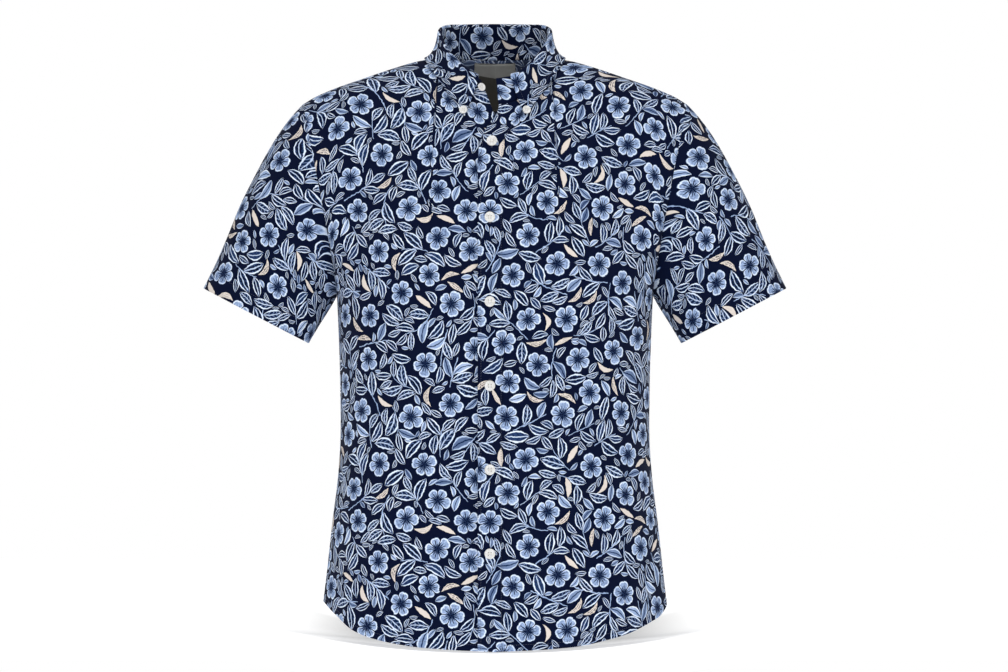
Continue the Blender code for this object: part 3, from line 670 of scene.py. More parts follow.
def armhole(turn):
    """The right armhole. turn is 0 at the underarm, 0.5 at the shoulder, and goes round by the front."""
    part = 1 - np.abs(1 - 2 * turn)
    fore = chest(FRONT, -np.ones_like(turn), part)
    aft = chest(BACK, -np.ones_like(turn), part)
    return np.where((turn <= 0.5)[..., None], fore, aft)


def sleeve_grid(hand):
    """The outer points of a sleeve, from the armhole to the cuff."""
    turn = np.arange(2 * CHEST_ROWS) / (2 * CHEST_ROWS)
    angle = 2 * math.pi * turn
    start = armhole(turn) * (-1, 1, 1)
    up = (1 - np.cos(angle)) / 2  # 0 at the underarm, 1 at the shoulder
    reach = CUFF_HALF_WIDTH * -np.cos(angle)
    end = points(
        CUFF_MIDDLE[0] + reach * math.cos(SLEEVE_TILT),
        -CUFF_HALF_DEPTH * np.sin(angle),
        CUFF_MIDDLE[1] + reach * math.sin(SLEEVE_TILT),
    )
    length = np.linalg.norm(end - start, axis=-1, keepdims=True)
    away = points(
        UNDERARM_DIRECTION[0] + (CAP_DIRECTION[0] - UNDERARM_DIRECTION[0]) * up,
        -CAP_FULLNESS * np.sin(angle),
        UNDERARM_DIRECTION[1] + (CAP_DIRECTION[1] - UNDERARM_DIRECTION[1]) * up,
    )
    leave = unit(away) * length * SLEEVE_PULL
    arrive = np.array([math.sin(SLEEVE_TILT), 0, -math.cos(SLEEVE_TILT)]) * length * SLEEVE_PULL
    rows = np.linspace(0, 1, SLEEVE_ROWS + 1)[:, None, None]
    grid = hermite(start, leave, end, arrive, rows)
    return grid * (hand, 1, 1)


# ---------------------------------------------------------------- collar


def fold_line(hand, along):
    """The collar's fold on one side, from the centre back at 0 to the front end at 1."""
    line = FOLD + FOLD_END[hand]
    return points(hand * read(line, "x", along), read(line, "y", along), read(line, "z", along))


def stand_grid(bases):
    """The outer points of the stand, from the neckline up to the fold, right front end to left front end."""
    columns = 2 * NECK_COLUMNS
    along = np.arange(columns + 1) / columns
    tops = np.concatenate([fold_line(RIGHT, along)[::-1], fold_line(LEFT, along)[1:]])
    rows = np.linspace(0, 1, STAND_ROWS + 1)[:, None, None]
    return bases + (tops - bases) * rows


def fall_edge(hand, along):
    """A point of the fall's outer edge, lifted off the panel under it, and the way out of that panel."""
    side = BACK if along <= 0.5 else FRONT
    line = FALL_BACK if side == BACK else FALL_FRONT
    x, z = hand * read(line, "x", along), read(line, "z", along)
    if abs(along - 0.5) < ON_SHOULDER:
        share = (abs(x) - NECK_HALF_WIDTH) / (RIDGE[-1].out - NECK_HALF_WIDTH)
        place = (hand * (NECK_SHARE + share * (1 - NECK_SHARE)), 2.0)
    else:
        place = find(side, x, z)
    normal = out_from(side, place)
    return panel(side, *place) + normal * (FALL_LIFT + COLLAR_CLOTH), normal


def fall_edges(places):
    """The fall's outer edge and its normals, on smooth curves through the edge points of the solid."""
    keys = np.linspace(-FALL_END, FALL_END, 2 * CAD_FALL_COLUMNS + 1)
    lain = np.array([fall_edge(LEFT if key >= 0 else RIGHT, abs(key)) for key in keys])
    slopes = np.gradient(lain, keys, axis=0)
    first = np.clip(np.searchsorted(keys, places) - 1, 0, len(keys) - 2)
    step = (keys[first + 1] - keys[first])[:, None, None]
    part = ((places - keys[first]) / step[:, 0, 0])[:, None, None]
    edges = hermite(lain[first], slopes[first] * step, lain[first + 1], slopes[first + 1] * step, part)
    return edges[:, 0], unit(edges[:, 1])


def fall_grid(stand, stand_normals):
    """The fall's outer points and normals, from the stand's top edge, over the fold, to its outer edge."""
    line = np.linspace(-1, 1, stand.shape[1])
    places = np.linspace(-FALL_END, FALL_END, 2 * FALL_COLUMNS + 1)
    tops = between(stand[-1], line, places)
    ups = unit(tops - between(stand[-2], line, places))
    outs = unit(between(stand_normals[-1], line, places))
    outs = unit(outs - ups * (outs * ups).sum(-1, keepdims=True))
    angles = np.linspace(0, math.pi, ROLL_STEPS + 1)[:, None, None]
    swings = outs * -np.cos(angles) + ups * np.sin(angles)
    roll = tops + ups * ROLL_LIFT + outs * ROLL_RADIUS + swings * (ROLL_RADIUS + COLLAR_CLOTH)

    edges, edge_normals = fall_edges(places)
    chord = edges - roll[-1]
    length = np.linalg.norm(chord, axis=-1, keepdims=True)
    arrive = unit(chord - edge_normals * (chord * edge_normals).sum(-1, keepdims=True)) * length
    to_front = ease((np.abs(places) - FRONT_LEAF) / (FALL_END - FRONT_LEAF))[:, None]
    leave = -ups * length * (1 + (FRONT_LEAVE - 1) * to_front)
    parts = np.linspace(0, 1, FALL_ROWS + 1)[1:, None, None]
    leaf = hermite(roll[-1], leave, edges, arrive, parts)
    grid = np.concatenate([roll, leaf])
    normals = normals_of(grid)
    normals[: ROLL_STEPS + 1] = swings
    return grid, normals


def between(values, line, places):
    """Rows of values that lie along a line, read at other places on it."""
    return np.stack([np.interp(places, line, values[:, axis]) for axis in range(3)], axis=-1)


def normals_of(grid, closed=False):
    """Unit normals of a grid, out of the body or the tube. closed joins its last column to its first."""
    if closed:
        by_column = np.roll(grid, -1, axis=1) - np.roll(grid, 1, axis=1)
        axis = grid.mean(axis=1, keepdims=True)
    else:
        by_column = np.gradient(grid, axis=1)
        axis = grid * (0, 0, 1)
    normals = unit(np.cross(by_column, np.gradient(grid, axis=0)))
    return normals * np.sign(((grid - axis) * normals).sum())


def share_normals(panels, joined):
    """Gives pieces that meet on a seam one normal there, so that their walls are mitred.

    Both arguments are lists of (grid, normals). The second one holds the pieces that are sewn to the panels.
    """
    totals = {}
    for pieces in (panels, joined):
        sums = {}
        for grid, normals in pieces:
            for key, normal in zip(seam_keys(grid), normals.reshape(-1, 3)):
                sums[key] = sums.get(key, 0) + normal
        for key, total in sums.items():
            totals[key] = totals.get(key, 0) + unit(total)
    return [
        unit(np.array([totals[key] for key in seam_keys(grid)])).reshape(grid.shape)
        for grid, _ in panels + joined
    ]


def seam_keys(grid):
    """A key for each point of a grid, the same for points that coincide."""
    return [tuple(point) for point in np.round(grid.reshape(-1, 3), KEY_DECIMALS)]


# ---------------------------------------------------------------- flat coordinates and creases


def flat_map(grid, row, column):
    """The grid laid out flat as (across, along) in metres, measured from one of its rows and columns."""
    along = np.concatenate([np.zeros((1, grid.shape[1])), steps(grid, 0).cumsum(axis=0)])
    along -= along[row]
    slant = np.diff(along, axis=1)
    level = steps(grid, 1)
    level = np.sqrt(np.maximum(level**2 - slant**2, (LEAST_WIDTH * level) ** 2))
    across = np.concatenate([np.zeros((grid.shape[0], 1)), level.cumsum(axis=1)], axis=1)
    across -= across[:, column, None]
    return np.stack([across, along], axis=-1)


def steps(grid, axis):
    """The distances between neighbours along one axis of a grid."""
    return np.linalg.norm(np.diff(grid, axis=axis), axis=-1)


def crease_height(places, creases):
    """How far the creases raise each place, given the places' flat coordinates."""
    total = np.zeros(places.shape[:-1])
    parts = np.linspace(0, 1, CREASE_STEPS)
    for crease in creases:
        start, middle, end = (np.array(point) / 1000 for point in (crease.start, crease.middle, crease.end))
        hill = np.zeros(total.shape)
        for part, swell in zip(parts, np.sin(math.pi * parts)):
            centre = start * (1 - part) ** 2 + 2 * middle * part * (1 - part) + end * part**2
            reach = ((places - centre) ** 2).sum(-1) / (crease.width / 1000) ** 2
            hill = np.maximum(hill, swell * np.exp(-reach))
        total += crease.depth / 1000 * ((1 + CREASE_SIDES) * hill - CREASE_SIDES * hill**0.25)
    return total


def edge_fade(flat, ends=False, top=False, bottom=False):
    """1 inside a piece and 0 at those of its edges that are sewn down."""
    across, along = flat[..., 0], flat[..., 1]
    fade = np.ones(across.shape)
    if ends:
        fade = fade * ease(np.minimum(across - across[:, :1], across[:, -1:] - across) / FADE)
    if top:
        fade = fade * ease((along[-1:] - along) / FADE)
    if bottom:
        fade = fade * ease((along - along[:1]) / FADE)
    return fade


def hem_waves(flat):
    """Low, uneven waves along a free bottom edge, dying away above it."""
    across, along = flat[..., 0], flat[..., 1] - flat[:1, ..., 1]
    wave = sum(share * np.sin(across * pitch + start) for pitch, start, share in HEM_WAVES)
    return HEM_WAVE * wave * np.exp(-along / HEM_WAVE_HEIGHT)


# ---------------------------------------------------------------- print layout


def leaf_half_width(along, seed):
    """Half the width of a leaf of length 1, at a share of its length."""
    fullness = LEAF_WIDTH + LEAF_SPREAD * (seed * FULL_SEED % 1)
    return fullness * np.maximum(4 * along * (1 - along), 0) ** LEAF_POINT


def leaf_bend(along, seed, kind=STEM):
    """How far a leaf's midrib lies to the side of the straight line between its ends."""
    more = CREAM_BEND if kind == CREAM else 1
    return (seed * BEND_SEED % 1 - 0.5) * LEAF_BEND * more * 4 * along * (1 - along)


def covered(kind, seed, x, y, margin):
    """Which local places, in units of the motif's own size, lie within a margin of it."""
    if kind == FLOWER:
        return np.hypot(x, y) < 1 + margin
    along = np.clip(x, 0, 1)
    half = STEM_HALF_WIDTH if kind == STEM else leaf_half_width(along, seed)
    beside = np.maximum(np.abs(y - leaf_bend(along, seed, kind)) - half, 0)
    return np.hypot(beside, x - along) <= margin


def footprint(motif, margin):
    """The cells of the repeat that a motif covers, widened by a margin."""
    reach = math.ceil((motif.size * MOTIF_REACH + margin) / CELL)
    rows, columns = np.mgrid[-reach : reach + 1, -reach : reach + 1]
    cos, sin = math.cos(motif.angle), math.sin(motif.angle)
    x = (columns * cos + rows * sin) * CELL / motif.size
    y = (rows * cos - columns * sin) * CELL / motif.size
    inside = covered(motif.kind, motif.seed, x, y, margin / motif.size)
    side = round(TILE / CELL)
    return (rows[inside] + round(motif.y / CELL)) % side, (columns[inside] + round(motif.x / CELL)) % side


def fits(taken, motif, margin):
    return not taken[footprint(motif, margin)].any()


def keep(taken, layout, motif):
    """Adds a motif to the layout and marks its cells."""
    layout.append(motif)
    taken[footprint(motif, 0)] = True


def free_spot(taken, dice):
    """The place of a random cell that no motif covers."""
    free = np.flatnonzero(~taken)
    row, column = divmod(int(free[dice.integers(len(free))]), taken.shape[1])
    return column * CELL, row * CELL


def sprig(taken, layout, dice):
    """A thin stem with leaves on both sides and one at its tip, if there is room for most of them."""
    x, y = free_spot(taken, dice)
    stem = Motif(STEM, x, y, dice.uniform(0, 2 * math.pi), dice.uniform(*SPRIG_SIZE), dice.random())
    if not fits(taken, stem, GAP / 2):
        return
    trial, leaves = taken.copy(), []
    cos, sin = math.cos(stem.angle), math.sin(stem.angle)
    for along in np.linspace(SPRIG_FOOT, 1, SPRIG_LEAVES):
        lean = 0 if along == 1 else (-1) ** len(leaves) * dice.uniform(*SPRIG_LEAN)
        off = leaf_bend(along, stem.seed) + math.copysign(STEM_HALF_WIDTH, lean)
        leaf = Motif(
            int(dice.choice(SPRIG_KINDS)),
            stem.x + (along * cos - off * sin) * stem.size,
            stem.y + (along * sin + off * cos) * stem.size,
            stem.angle + lean,
            dice.uniform(*SPRIG_LEAF) * (SPRIG_TAPER[0] - SPRIG_TAPER[1] * along),
            dice.random(),
        )
        if fits(trial, leaf, GAP):
            keep(trial, leaves, leaf)
    if len(leaves) >= SPRIG_LEAST:
        for motif in (stem, *leaves):
            keep(taken, layout, motif)


def scatter(taken, layout, dice, batch):
    """Single motifs of falling size, each kept where it fits."""
    left = batch.most
    for size in np.linspace(*batch.sizes, batch.tries):
        x, y = free_spot(taken, dice)
        kind = int(dice.choice(batch.kinds))
        angle = dice.uniform(0, 2 * math.pi)
        if kind != FLOWER:
            x -= math.cos(angle) * size / 2
            y -= math.sin(angle) * size / 2
        motif = Motif(kind, x, y, angle, size, dice.random())
        if left and fits(taken, motif, batch.margin):
            keep(taken, layout, motif)
            left -= 1


def print_layout():
    """One repeat of the print: flowers, then sprigs between them, then leaves that fill what is left."""
    dice = np.random.default_rng(PRINT_SEED)
    side = round(TILE / CELL)
    taken = np.zeros((side, side), bool)
    layout = []
    scatter(taken, layout, dice, FLOWERS)
    for _ in range(SPRIG_TRIES):
        sprig(taken, layout, dice)
    for batch in FILLERS:
        scatter(taken, layout, dice, batch)
    return layout


def motif_slots(flat):
    """For each corner of each face, its place on up to SLOTS motifs, as (x, y, kind and seed).

    flat holds the corners' flat coordinates, shaped (faces, 4, 2). Places are in units of the motif's size.
    """
    centres = flat.mean(axis=1)
    slack = np.linalg.norm(flat - centres[:, None], axis=-1).max(axis=1)
    slots = np.zeros((SLOTS, len(flat), 4, 3), np.float32)
    used = np.zeros(len(flat), int)
    for motif in LAYOUT:
        offset = centres - (motif.x, motif.y)
        offset = (offset + TILE / 2) % TILE - TILE / 2
        near = np.flatnonzero((np.hypot(*offset.T) < motif.size * MOTIF_REACH + slack) & (used < SLOTS))
        cos, sin = math.cos(motif.angle), math.sin(motif.angle)
        corners = offset[near, None] + flat[near] - centres[near, None]
        x = (corners[..., 0] * cos + corners[..., 1] * sin) / motif.size
        y = (corners[..., 1] * cos - corners[..., 0] * sin) / motif.size
        margin = slack[near] / motif.size + PRINT_WOBBLE
        hit = covered(motif.kind, motif.seed, x.mean(axis=1), y.mean(axis=1), margin)
        faces = near[hit]
        code = np.full(x[hit].shape, motif.kind + CODE_START + CODE_SPAN * motif.seed)
        slots[used[faces], faces] = np.stack([x[hit], y[hit], code], axis=-1)
        used[faces] += 1
    return slots


# ---------------------------------------------------------------- shells


def drawn_in(grid, normals, closed):
    """How far each point is moved so that the piece ends half a gap short of its seams."""
    shift = np.zeros_like(grid)
    shift[0] += into(grid[0], grid[1], normals[0], closed)
    shift[-1] += into(grid[-1], grid[-2], normals[-1], closed)
    if not closed:
        shift[:, 0] += into(grid[:, 0], grid[:, 1], normals[:, 0])
        shift[:, -1] += into(grid[:, -1], grid[:, -2], normals[:, -1])
    return shift * SEAM_GAP / 2


def walls(grid, normals, shared, thickness, closed=False):
    """The outer and the inner points of a wall on a grid, mitred and drawn in at its seams."""
    mitre = np.clip((normals * shared).sum(-1, keepdims=True), LEAST_MITRE, 1)
    shift = drawn_in(grid, shared, closed)
    return grid + shift, grid - shared * (thickness / mitre) + shift


def into(edge, neighbours, normals, closed=False):
    """The unit vectors along a surface, square to its edge, towards the neighbours inside it."""
    along = np.roll(edge, -1, axis=0) - np.roll(edge, 1, axis=0) if closed else np.gradient(edge, axis=0)
    across = unit(np.cross(normals, along))
    return across * np.sign((across * (neighbours - edge)).sum(-1, keepdims=True))


def shell(name, outer, inner, flat, closed=False, both=False, look="print"):
    """A closed piece of cloth between two grids, in place of the solid of its name.

    A closed piece is a tube: flat then has one column more than the grids. both says that the cloth is
    double, so that its printed side shows inside too.
    """
    rim = np.zeros(outer.shape[:2], bool)
    rim[[0, -1]] = True
    if not closed:
        rim[:, [0, -1]] = True
    away = -drawn_in(outer, unit(outer - inner), closed) / SEAM_GAP * 2
    thickness = np.linalg.norm(outer - inner, axis=-1, keepdims=True)
    bulge = ((outer + inner) / 2 + away * thickness * EDGE_ROUND)[rim]
    corners, ids, count = shell_faces(rim, closed)
    turn = np.cross(outer[0, 1] - outer[0, 0], outer[1, 0] - outer[0, 0]) @ (outer - inner)[0, 0]
    if turn < 0:
        corners, ids = corners[:, ::-1], ids[:, ::-1]

    mesh = bpy.data.meshes.new(name)
    everything = np.concatenate([outer.reshape(-1, 3), inner.reshape(-1, 3), bulge])
    mesh.from_pydata(everything.tolist(), [], ids.tolist())
    inside = np.zeros(len(ids), np.float32)
    inside[count : 2 * count] = 0 if both else 1
    write_print(mesh, flat[corners[..., 0], corners[..., 1]], np.repeat(inside, 4))
    mesh.shade_smooth()
    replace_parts(piece(name + "_cloth", mesh, look), name)


def shell_faces(rim, closed):
    """A shell's faces as grid places and as vertex numbers, and how many of them its outer side has.

    They are the outer side's, then as many of the inner side's, then those round the rim.
    """
    rows, columns = rim.shape
    number = np.arange(rows * columns).reshape(rows, columns)
    rim_number = np.cumsum(rim).reshape(rows, columns) - 1 + 2 * rows * columns
    layers = np.stack([number, rim_number, number + rows * columns])
    spans = columns if closed else columns - 1
    i, j = (axis.ravel() for axis in np.mgrid[: rows - 1, :spans])
    cells = np.stack([(i, j), (i, j + 1), (i + 1, j + 1), (i + 1, j)], axis=-1).transpose(1, 2, 0)
    corners = [cells, cells[:, ::-1]]
    ids = [layer_ids(layers[0], corners[0]), layer_ids(layers[2], corners[1])]
    for edge in rim_edges(rows, columns, spans, closed):
        for near, far in ((0, 1), (1, 2)):
            pair = np.concatenate([edge, edge[:, ::-1]], axis=1)
            corners.append(pair)
            sides = (layer_ids(layers[near], edge), layer_ids(layers[far], edge[:, ::-1]))
            ids.append(np.concatenate(sides, axis=1))
    return np.concatenate(corners), np.concatenate(ids), len(cells)


def layer_ids(layer, corners):
    """The vertex numbers of grid corners on one layer. A tube's last column is its first again."""
    return layer[corners[..., 0], corners[..., 1] % layer.shape[1]]


def rim_edges(rows, columns, spans, closed):
    """The border's edges, each as two grid places, in the direction that turns their faces outward."""
    j, i = np.arange(spans), np.arange(rows - 1)
    yield border(0 * j, j + 1, 0 * j, j)
    yield border(0 * j + rows - 1, j, 0 * j + rows - 1, j + 1)
    if not closed:
        yield border(i, 0 * i, i + 1, 0 * i)
        yield border(i + 1, 0 * i + columns - 1, i, 0 * i + columns - 1)


def border(row, column, next_row, next_column):
    return np.stack([np.stack([row, column], -1), np.stack([next_row, next_column], -1)], axis=1)


def write_print(mesh, places, inside):
    """Stores the cloth's flat coordinates, its motifs and which side is the inner one on the face corners."""
    layer = mesh.uv_layers.new(name=FLAT)
    layer.data.foreach_set("uv", places.astype(np.float32).ravel())
    for index, slot in enumerate(motif_slots(places)):
        attribute = mesh.attributes.new(MOTIF.format(index), "FLOAT_VECTOR", "CORNER")
        attribute.data.foreach_set("vector", slot.ravel())
    attribute = mesh.attributes.new(INSIDE, "FLOAT", "CORNER")
    attribute.data.foreach_set("value", inside)


def piece(name, mesh, look):
    """A mesh as a piece of the shirt, with its material, attached to the root."""
    mesh.materials.append(MATERIALS[look])
    thing = bpy.data.objects.new(name, mesh)
    bpy.context.scene.collection.objects.link(thing)
    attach(thing, "root")
    return thing


# ---------------------------------------------------------------- node arithmetic


class Wire:
    """The value on a node's output, with arithmetic that adds Math nodes to its tree."""

    def __init__(self, tree, socket):
        self.tree, self.socket = tree, socket

    def math(self, operation, *others):
        node = self.tree.nodes.new("ShaderNodeMath")
        node.operation = operation
        for slot, value in zip(node.inputs, (self, *others)):
            plug(self.tree, value, slot)
        return Wire(self.tree, node.outputs[0])

    def __add__(self, other):
        return self.math("ADD", other)

    def __sub__(self, other):
        return self.math("SUBTRACT", other)

    def __mul__(self, other):
        return self.math("MULTIPLY", other)

    def __truediv__(self, other):
        return self.math("DIVIDE", other)

    def __rsub__(self, other):
        return self * -1 + other

    def __abs__(self):
        return self.math("ABSOLUTE")

    def power(self, other):
        return self.math("POWER", other)

    def most(self, other):
        return self.math("MAXIMUM", other)

    def least(self, other):
        return self.math("MINIMUM", other)

    def fraction(self):
        return self.math("FRACT")

    def is_kind(self, kind):
        """1 where a motif's code is of a kind, and 0 elsewhere."""
        return self.math("FLOOR").math("COMPARE", kind, 0.25)

    def step(self, low, high):
        """0 to 1, smoothly, from low to high."""
        node = self.tree.nodes.new("ShaderNodeMapRange")
        node.interpolation_type = "SMOOTHSTEP"
        node.inputs["From Min"].default_value = low
        node.inputs["From Max"].default_value = high
        plug(self.tree, self, node.inputs["Value"])
        return Wire(self.tree, node.outputs["Result"])

    def between(self, low, high):
        """low where this is 0 and high where it is 1. Both may be wires."""
        return mixed(self.tree, "FLOAT", self, low, high)


def plug(tree, value, slot):
    """A wire's value, or a constant, into a socket."""
    if isinstance(value, Wire):
        tree.links.new(value.socket, slot)
    else:
        slot.default_value = value


def mixed(tree, kind, share, low, high, blend="MIX"):
    """A Mix node's result. kind is FLOAT or RGBA."""
    node = tree.nodes.new("ShaderNodeMix")
    node.data_type = kind
    if kind == "RGBA":
        node.blend_type = blend
    sockets = [socket for socket in node.inputs if socket.enabled]
    for slot, value in zip(sockets, (share, low, high)):
        plug(tree, value, slot)
    return Wire(tree, next(socket for socket in node.outputs if socket.enabled))


def noise(tree, vector, scale, detail=2.0, output="Fac"):
    """Noise on flat coordinates."""
    node = tree.nodes.new("ShaderNodeTexNoise")
    node.noise_dimensions = "2D"
    node.inputs["Scale"].default_value = scale
    node.inputs["Detail"].default_value = detail
    plug(tree, vector, node.inputs["Vector"])
    return Wire(tree, node.outputs[output])


def split(tree, vector):
    """A vector's three components."""
    node = tree.nodes.new("ShaderNodeSeparateXYZ")
    plug(tree, vector, node.inputs[0])
    return [Wire(tree, socket) for socket in node.outputs]


def joined(tree, x, y, z=0.0):
    """A vector from three components."""
    node = tree.nodes.new("ShaderNodeCombineXYZ")
    for slot, value in zip(node.inputs, (x, y, z)):
        plug(tree, value, slot)
    return Wire(tree, node.outputs[0])


# ---------------------------------------------------------------- print motifs


def motif_group():
    """The node group that draws one motif from its place, kind and seed. Its outputs are 0 off the motif."""
    tree = bpy.data.node_groups.new("print_motif", "ShaderNodeTree")
    for name, kind in (("Motif", "Vector"), ("Wobble", "Vector"), ("Grain", "Float")):
        tree.interface.new_socket(name, in_out="INPUT", socket_type="NodeSocket" + kind)
    for name in ("Level", "Cream"):
        tree.interface.new_socket(name, in_out="OUTPUT", socket_type="NodeSocketFloat")
    given = tree.nodes.new("NodeGroupInput")
    x, y, code = split(tree, Wire(tree, given.outputs["Motif"]))
    sway, swing, _ = split(tree, Wire(tree, given.outputs["Wobble"]))
    grain = Wire(tree, given.outputs["Grain"])
    x = x + (sway - 0.5) * (2 * PRINT_WOBBLE)
    y = y + (swing - 0.5) * (2 * PRINT_WOBBLE)
    seed = (code.fraction() - CODE_START) / CODE_SPAN

    leaf, cream = leaf_drawing(x, y, code, seed, grain)
    flower = flower_drawing(x, y, seed, grain) * code.is_kind(FLOWER)
    result = tree.nodes.new("NodeGroupOutput")
    plug(tree, leaf.most(flower), result.inputs["Level"])
    plug(tree, cream, result.inputs["Cream"])
    return tree


def leaf_drawing(x, y, code, seed, grain):
    """The brightness and the cream share of leaves of every kind, and of stems."""
    along = x.most(0.0).least(1.0)
    bow = along * (1 - along) * 4
    more = code.is_kind(CREAM) * (CREAM_BEND - 1) + 1
    side = abs(y - ((seed * BEND_SEED).fraction() - 0.5) * bow * LEAF_BEND * more)
    slim = 1 - code.is_kind(CREAM) * CREAM_SLIM
    half = ((seed * FULL_SEED).fraction() * LEAF_SPREAD + LEAF_WIDTH) * slim * bow.power(LEAF_POINT)
    across = side / half.most(LEAST_HALF_WIDTH)
    within = x.step(*LEAF_ENDS[0]) * x.step(*LEAF_ENDS[1])
    body = across.step(*LEAF_EDGE) * within
    outline = across.step(*LEAF_OUTLINE)
    tone = (seed * TONE_SEED).fraction()

    midrib = side.step(*MIDRIB) * x.step(*MIDRIB_ENDS[0]) * x.step(*MIDRIB_ENDS[1])
    vein = abs((along * VEINS - side * VEINS + seed * 3).fraction() - 0.5)
    core = (across + (grain - 0.5) * CORE_ROUGHNESS).step(*CORE)
    core = core * x.step(*CORE_ENDS[0]) * x.step(*CORE_ENDS[1])

    filled = tone * 0.24 + 0.32 - vein.step(*FILLED_VEIN) * 0.20
    filled = (filled - core * (tone.step(*DARK_CORE) * 0.50)).most(midrib * 0.78).most(outline * 0.92)
    lined = (vein.step(*LINED_VEIN) * 0.56).most(midrib * 0.80).most(outline * 0.90).most(grain * 0.26)
    plain = tone * 0.20 + 0.50 + outline * 0.26 - midrib * 0.34
    stem = side.step(*STEM_EDGE) * within * 0.70

    level = filled * code.is_kind(FILLED) + lined * code.is_kind(OUTLINED) + plain * code.is_kind(PLAIN)
    strokes = core * (1 - midrib) * tone.step(*CREAM_STROKES)
    cream = code.is_kind(CREAM) * body * (1 - strokes * 0.8)
    return (level * body).most(stem * code.is_kind(STEM)), cream


def flower_drawing(x, y, seed, grain):
    """The brightness of a flower of five petals, with dark streaks out from its centre."""
    radius = (x * x + y * y).power(0.5)
    turn = y.math("ARCTAN2", x) / (2 * math.pi) + seed + 1
    petal = ((turn * PETALS).fraction() - 0.5) * (2 * math.pi / PETALS)
    number = (turn * PETALS).math("FLOOR")
    odd = ((number * 2.37 + seed * 9.1).math("SINE") * 43.7).fraction()
    aside = abs(petal)
    lobe = 1 - (aside / (math.pi / PETALS)).power(PETAL_POWER) * PETAL_ROUND
    lobe = lobe - aside.step(*NOTCH) * NOTCH_DEPTH
    reach = radius / (lobe * (odd * PETAL_VARIES + PETAL_SIZE))
    border = (math.pi / PETALS - aside) * radius
    body = reach.step(*PETAL_EDGE) * border.step(*PETAL_GAP)
    rim = reach.step(*PETAL_RIM).most(border.step(*PETAL_BORDER) * radius.step(*BORDER_FROM))

    streak = abs(((petal + odd * 0.10) / STREAK_ANGLE + 0.5).fraction() - 0.5) * STREAK_ANGLE * radius
    middle = 1 - abs(petal / STREAK_ANGLE).least(1.0)
    end = (petal * 11 + odd * 6).math("SINE") * 0.10 + middle * 0.16 + 0.50
    width = (radius * 0.10).least(0.030).least((end - radius) * 0.18 + 0.005)
    line = (streak - width).step(*STREAK_EDGE) * (radius - end).step(*STREAK_END)
    line = line * radius.step(*STREAK_START)
    shade = radius.step(*FLOWER_MIDDLE) * 0.20
    level = grain * 0.34 + 0.46 + rim * 0.26 - shade - line * 0.56
    return (level * body).most(0.0) * radius.step(*FLOWER_HOLE)


# ---------------------------------------------------------------- materials


def new_material(name, roughness, **constants):
    """A material with its shader, whose constants are set on the shader's own sockets."""
    made = bpy.data.materials.new(name)
    made.use_nodes = True
    shader = made.node_tree.nodes["Principled BSDF"]
    shader.inputs["Roughness"].default_value = roughness
    shader.inputs["Metallic"].default_value = 0.0
    for socket, value in constants.items():
        shader.inputs[socket.replace("_", " ")].default_value = value
    return made, made.node_tree, shader


def linear(red, green, blue):
    """A colour given from 0 to 255 on the screen, as the shader takes it."""
    return tuple((value / 255) ** 2.2 for value in (red, green, blue)) + (1.0,)


def ramp(tree, value, stops):
    """Colours along a value."""
    node = tree.nodes.new("ShaderNodeValToRGB")
    elements = node.color_ramp.elements
    while len(elements) < len(stops):
        elements.new(0.5)
    for element, (place, colour) in zip(elements, stops):
        element.position = place
        element.color = linear(*colour)
    plug(tree, value, node.inputs[0])
    return Wire(tree, node.outputs[0])


def flat_place(tree):
    """The cloth's flat coordinates, in metres."""
    node = tree.nodes.new("ShaderNodeUVMap")
    node.uv_map = FLAT
    return Wire(tree, node.outputs[0])


def object_place(tree):
    """The place on an object, in metres."""
    return Wire(tree, tree.nodes.new("ShaderNodeTexCoord").outputs["Object"])


def attribute(tree, name, output="Fac"):
    node = tree.nodes.new("ShaderNodeAttribute")
    node.attribute_name = name
    return Wire(tree, node.outputs[output])


def add_bump(tree, shader, height, depth):
    node = tree.nodes.new("ShaderNodeBump")
    node.inputs["Strength"].default_value = 1.0
    node.inputs["Distance"].default_value = depth
    plug(tree, height, node.inputs["Height"])
    tree.links.new(node.outputs[0], shader.inputs["Normal"])


def woven_bump(tree, shader, place, pitch, depth, extra=None):
    """A plain weave: threads that pass over and under each other."""
    x, y, _ = split(tree, place)
    over = (x * (2 * math.pi / pitch)).math("SINE") * (y * (2 * math.pi / pitch)).math("SINE")
    add_bump(tree, shader, over if extra is None else over + extra, depth)
    return over


